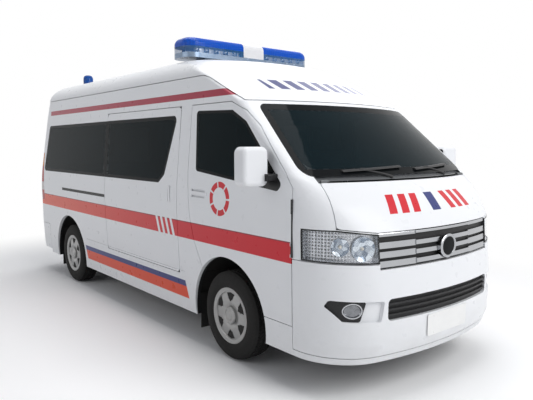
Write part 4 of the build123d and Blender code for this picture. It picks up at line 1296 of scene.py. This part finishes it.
flags = [Wire(floorLook, socket) for socket in seenDirect(floorLook.tree)]
direct = flags[0].math("MAXIMUM", flags[1]).math("MAXIMUM", flags[2])
floorLook.feed("Base_Color", floorLook.blend(direct, paleFloor, stageSet["seenFloor"]))
glow = floorLook.tree.nodes.new("ShaderNodeEmission")
glow.inputs["Strength"].default_value = 1.0
floorMix = floorLook.tree.nodes.new("ShaderNodeMixShader")
floorLook.tree.links.new((fade * direct).socket, floorMix.inputs[0])
floorLook.tree.links.new(floorLook.shader.outputs[0], floorMix.inputs[1])
floorLook.tree.links.new(glow.outputs[0], floorMix.inputs[2])
floorLook.tree.links.new(floorMix.outputs[0], floorLook.tree.nodes["Material Output"].inputs["Surface"])
floorMesh.materials.append(floorLook.material)

world = bpy.data.worlds.new("studio")
bpy.context.scene.world = world
world.use_nodes = True
sky = world.node_tree
light = sky.nodes["Background"]
light.inputs["Color"].default_value = (*stageSet["sky"], 1.0)
light.inputs["Strength"].default_value = stageSet["skyPower"]
backdrop = sky.nodes.new("ShaderNodeBackground")
backdrop.inputs["Color"].default_value = (1.0, 1.0, 1.0, 1.0)
skyFlags = seenDirect(sky)
joined = skyFlags[0]
for flag in skyFlags[1:]:
    most = sky.nodes.new("ShaderNodeMath")
    most.operation = "MAXIMUM"
    sky.links.new(joined, most.inputs[0])
    sky.links.new(flag, most.inputs[1])
    joined = most.outputs[0]
skyMix = sky.nodes.new("ShaderNodeMixShader")
sky.links.new(joined, skyMix.inputs[0])
sky.links.new(light.outputs[0], skyMix.inputs[1])
sky.links.new(backdrop.outputs[0], skyMix.inputs[2])
sky.links.new(skyMix.outputs[0], sky.nodes["World Output"].inputs["Surface"])

lamps = (
    ("frontLamp", (8.5, 1.6, 6.0), (1.0, 0.0, 1.0), (6.0, 6.0), 500.0),
    ("sideLamp", (-1.0, -8.5, 4.5), (-0.3, 0.0, 1.0), (8.0, 4.0), 90.0),
    ("backLamp", (-5.0, 6.5, 6.5), (0.0, 0.0, 1.0), (7.0, 5.0), 150.0),
    ("topLamp", (0.0, 0.0, 7.5), (0.0, 0.0, 0.0), (7.0, 4.0), 260.0),
)
for name, spot, aim, size, power in lamps:
    data = bpy.data.lights.new(name, "AREA")
    data.shape = "RECTANGLE"
    data.size, data.size_y = size
    data.energy = power
    lamp = bpy.data.objects.new(name, data)
    lamp.location = spot
    lamp.rotation_euler = (Vector(aim) - Vector(spot)).to_track_quat("-Z", "Y").to_euler()
    bpy.context.scene.collection.objects.link(lamp)

camData = bpy.data.cameras.new("photoCamera")
camData.lens = stageSet["lens"]
camData.sensor_width = 36.0
camera = bpy.data.objects.new("photoCamera", camData)
camera.location = stageSet["cameraAt"]
yaw = math.radians(stageSet["yaw"])
pitch = math.radians(stageSet["pitch"])
ahead = Vector((math.cos(yaw) * math.cos(pitch), math.sin(yaw) * math.cos(pitch), math.sin(pitch)))
camera.rotation_euler = ahead.to_track_quat("-Z", "Y").to_euler()
bpy.context.scene.collection.objects.link(camera)
bpy.context.scene.camera = camera
bpy.context.scene.view_settings.view_transform = "Standard"
print("stage ready")

bpy.context.view_layer.update()
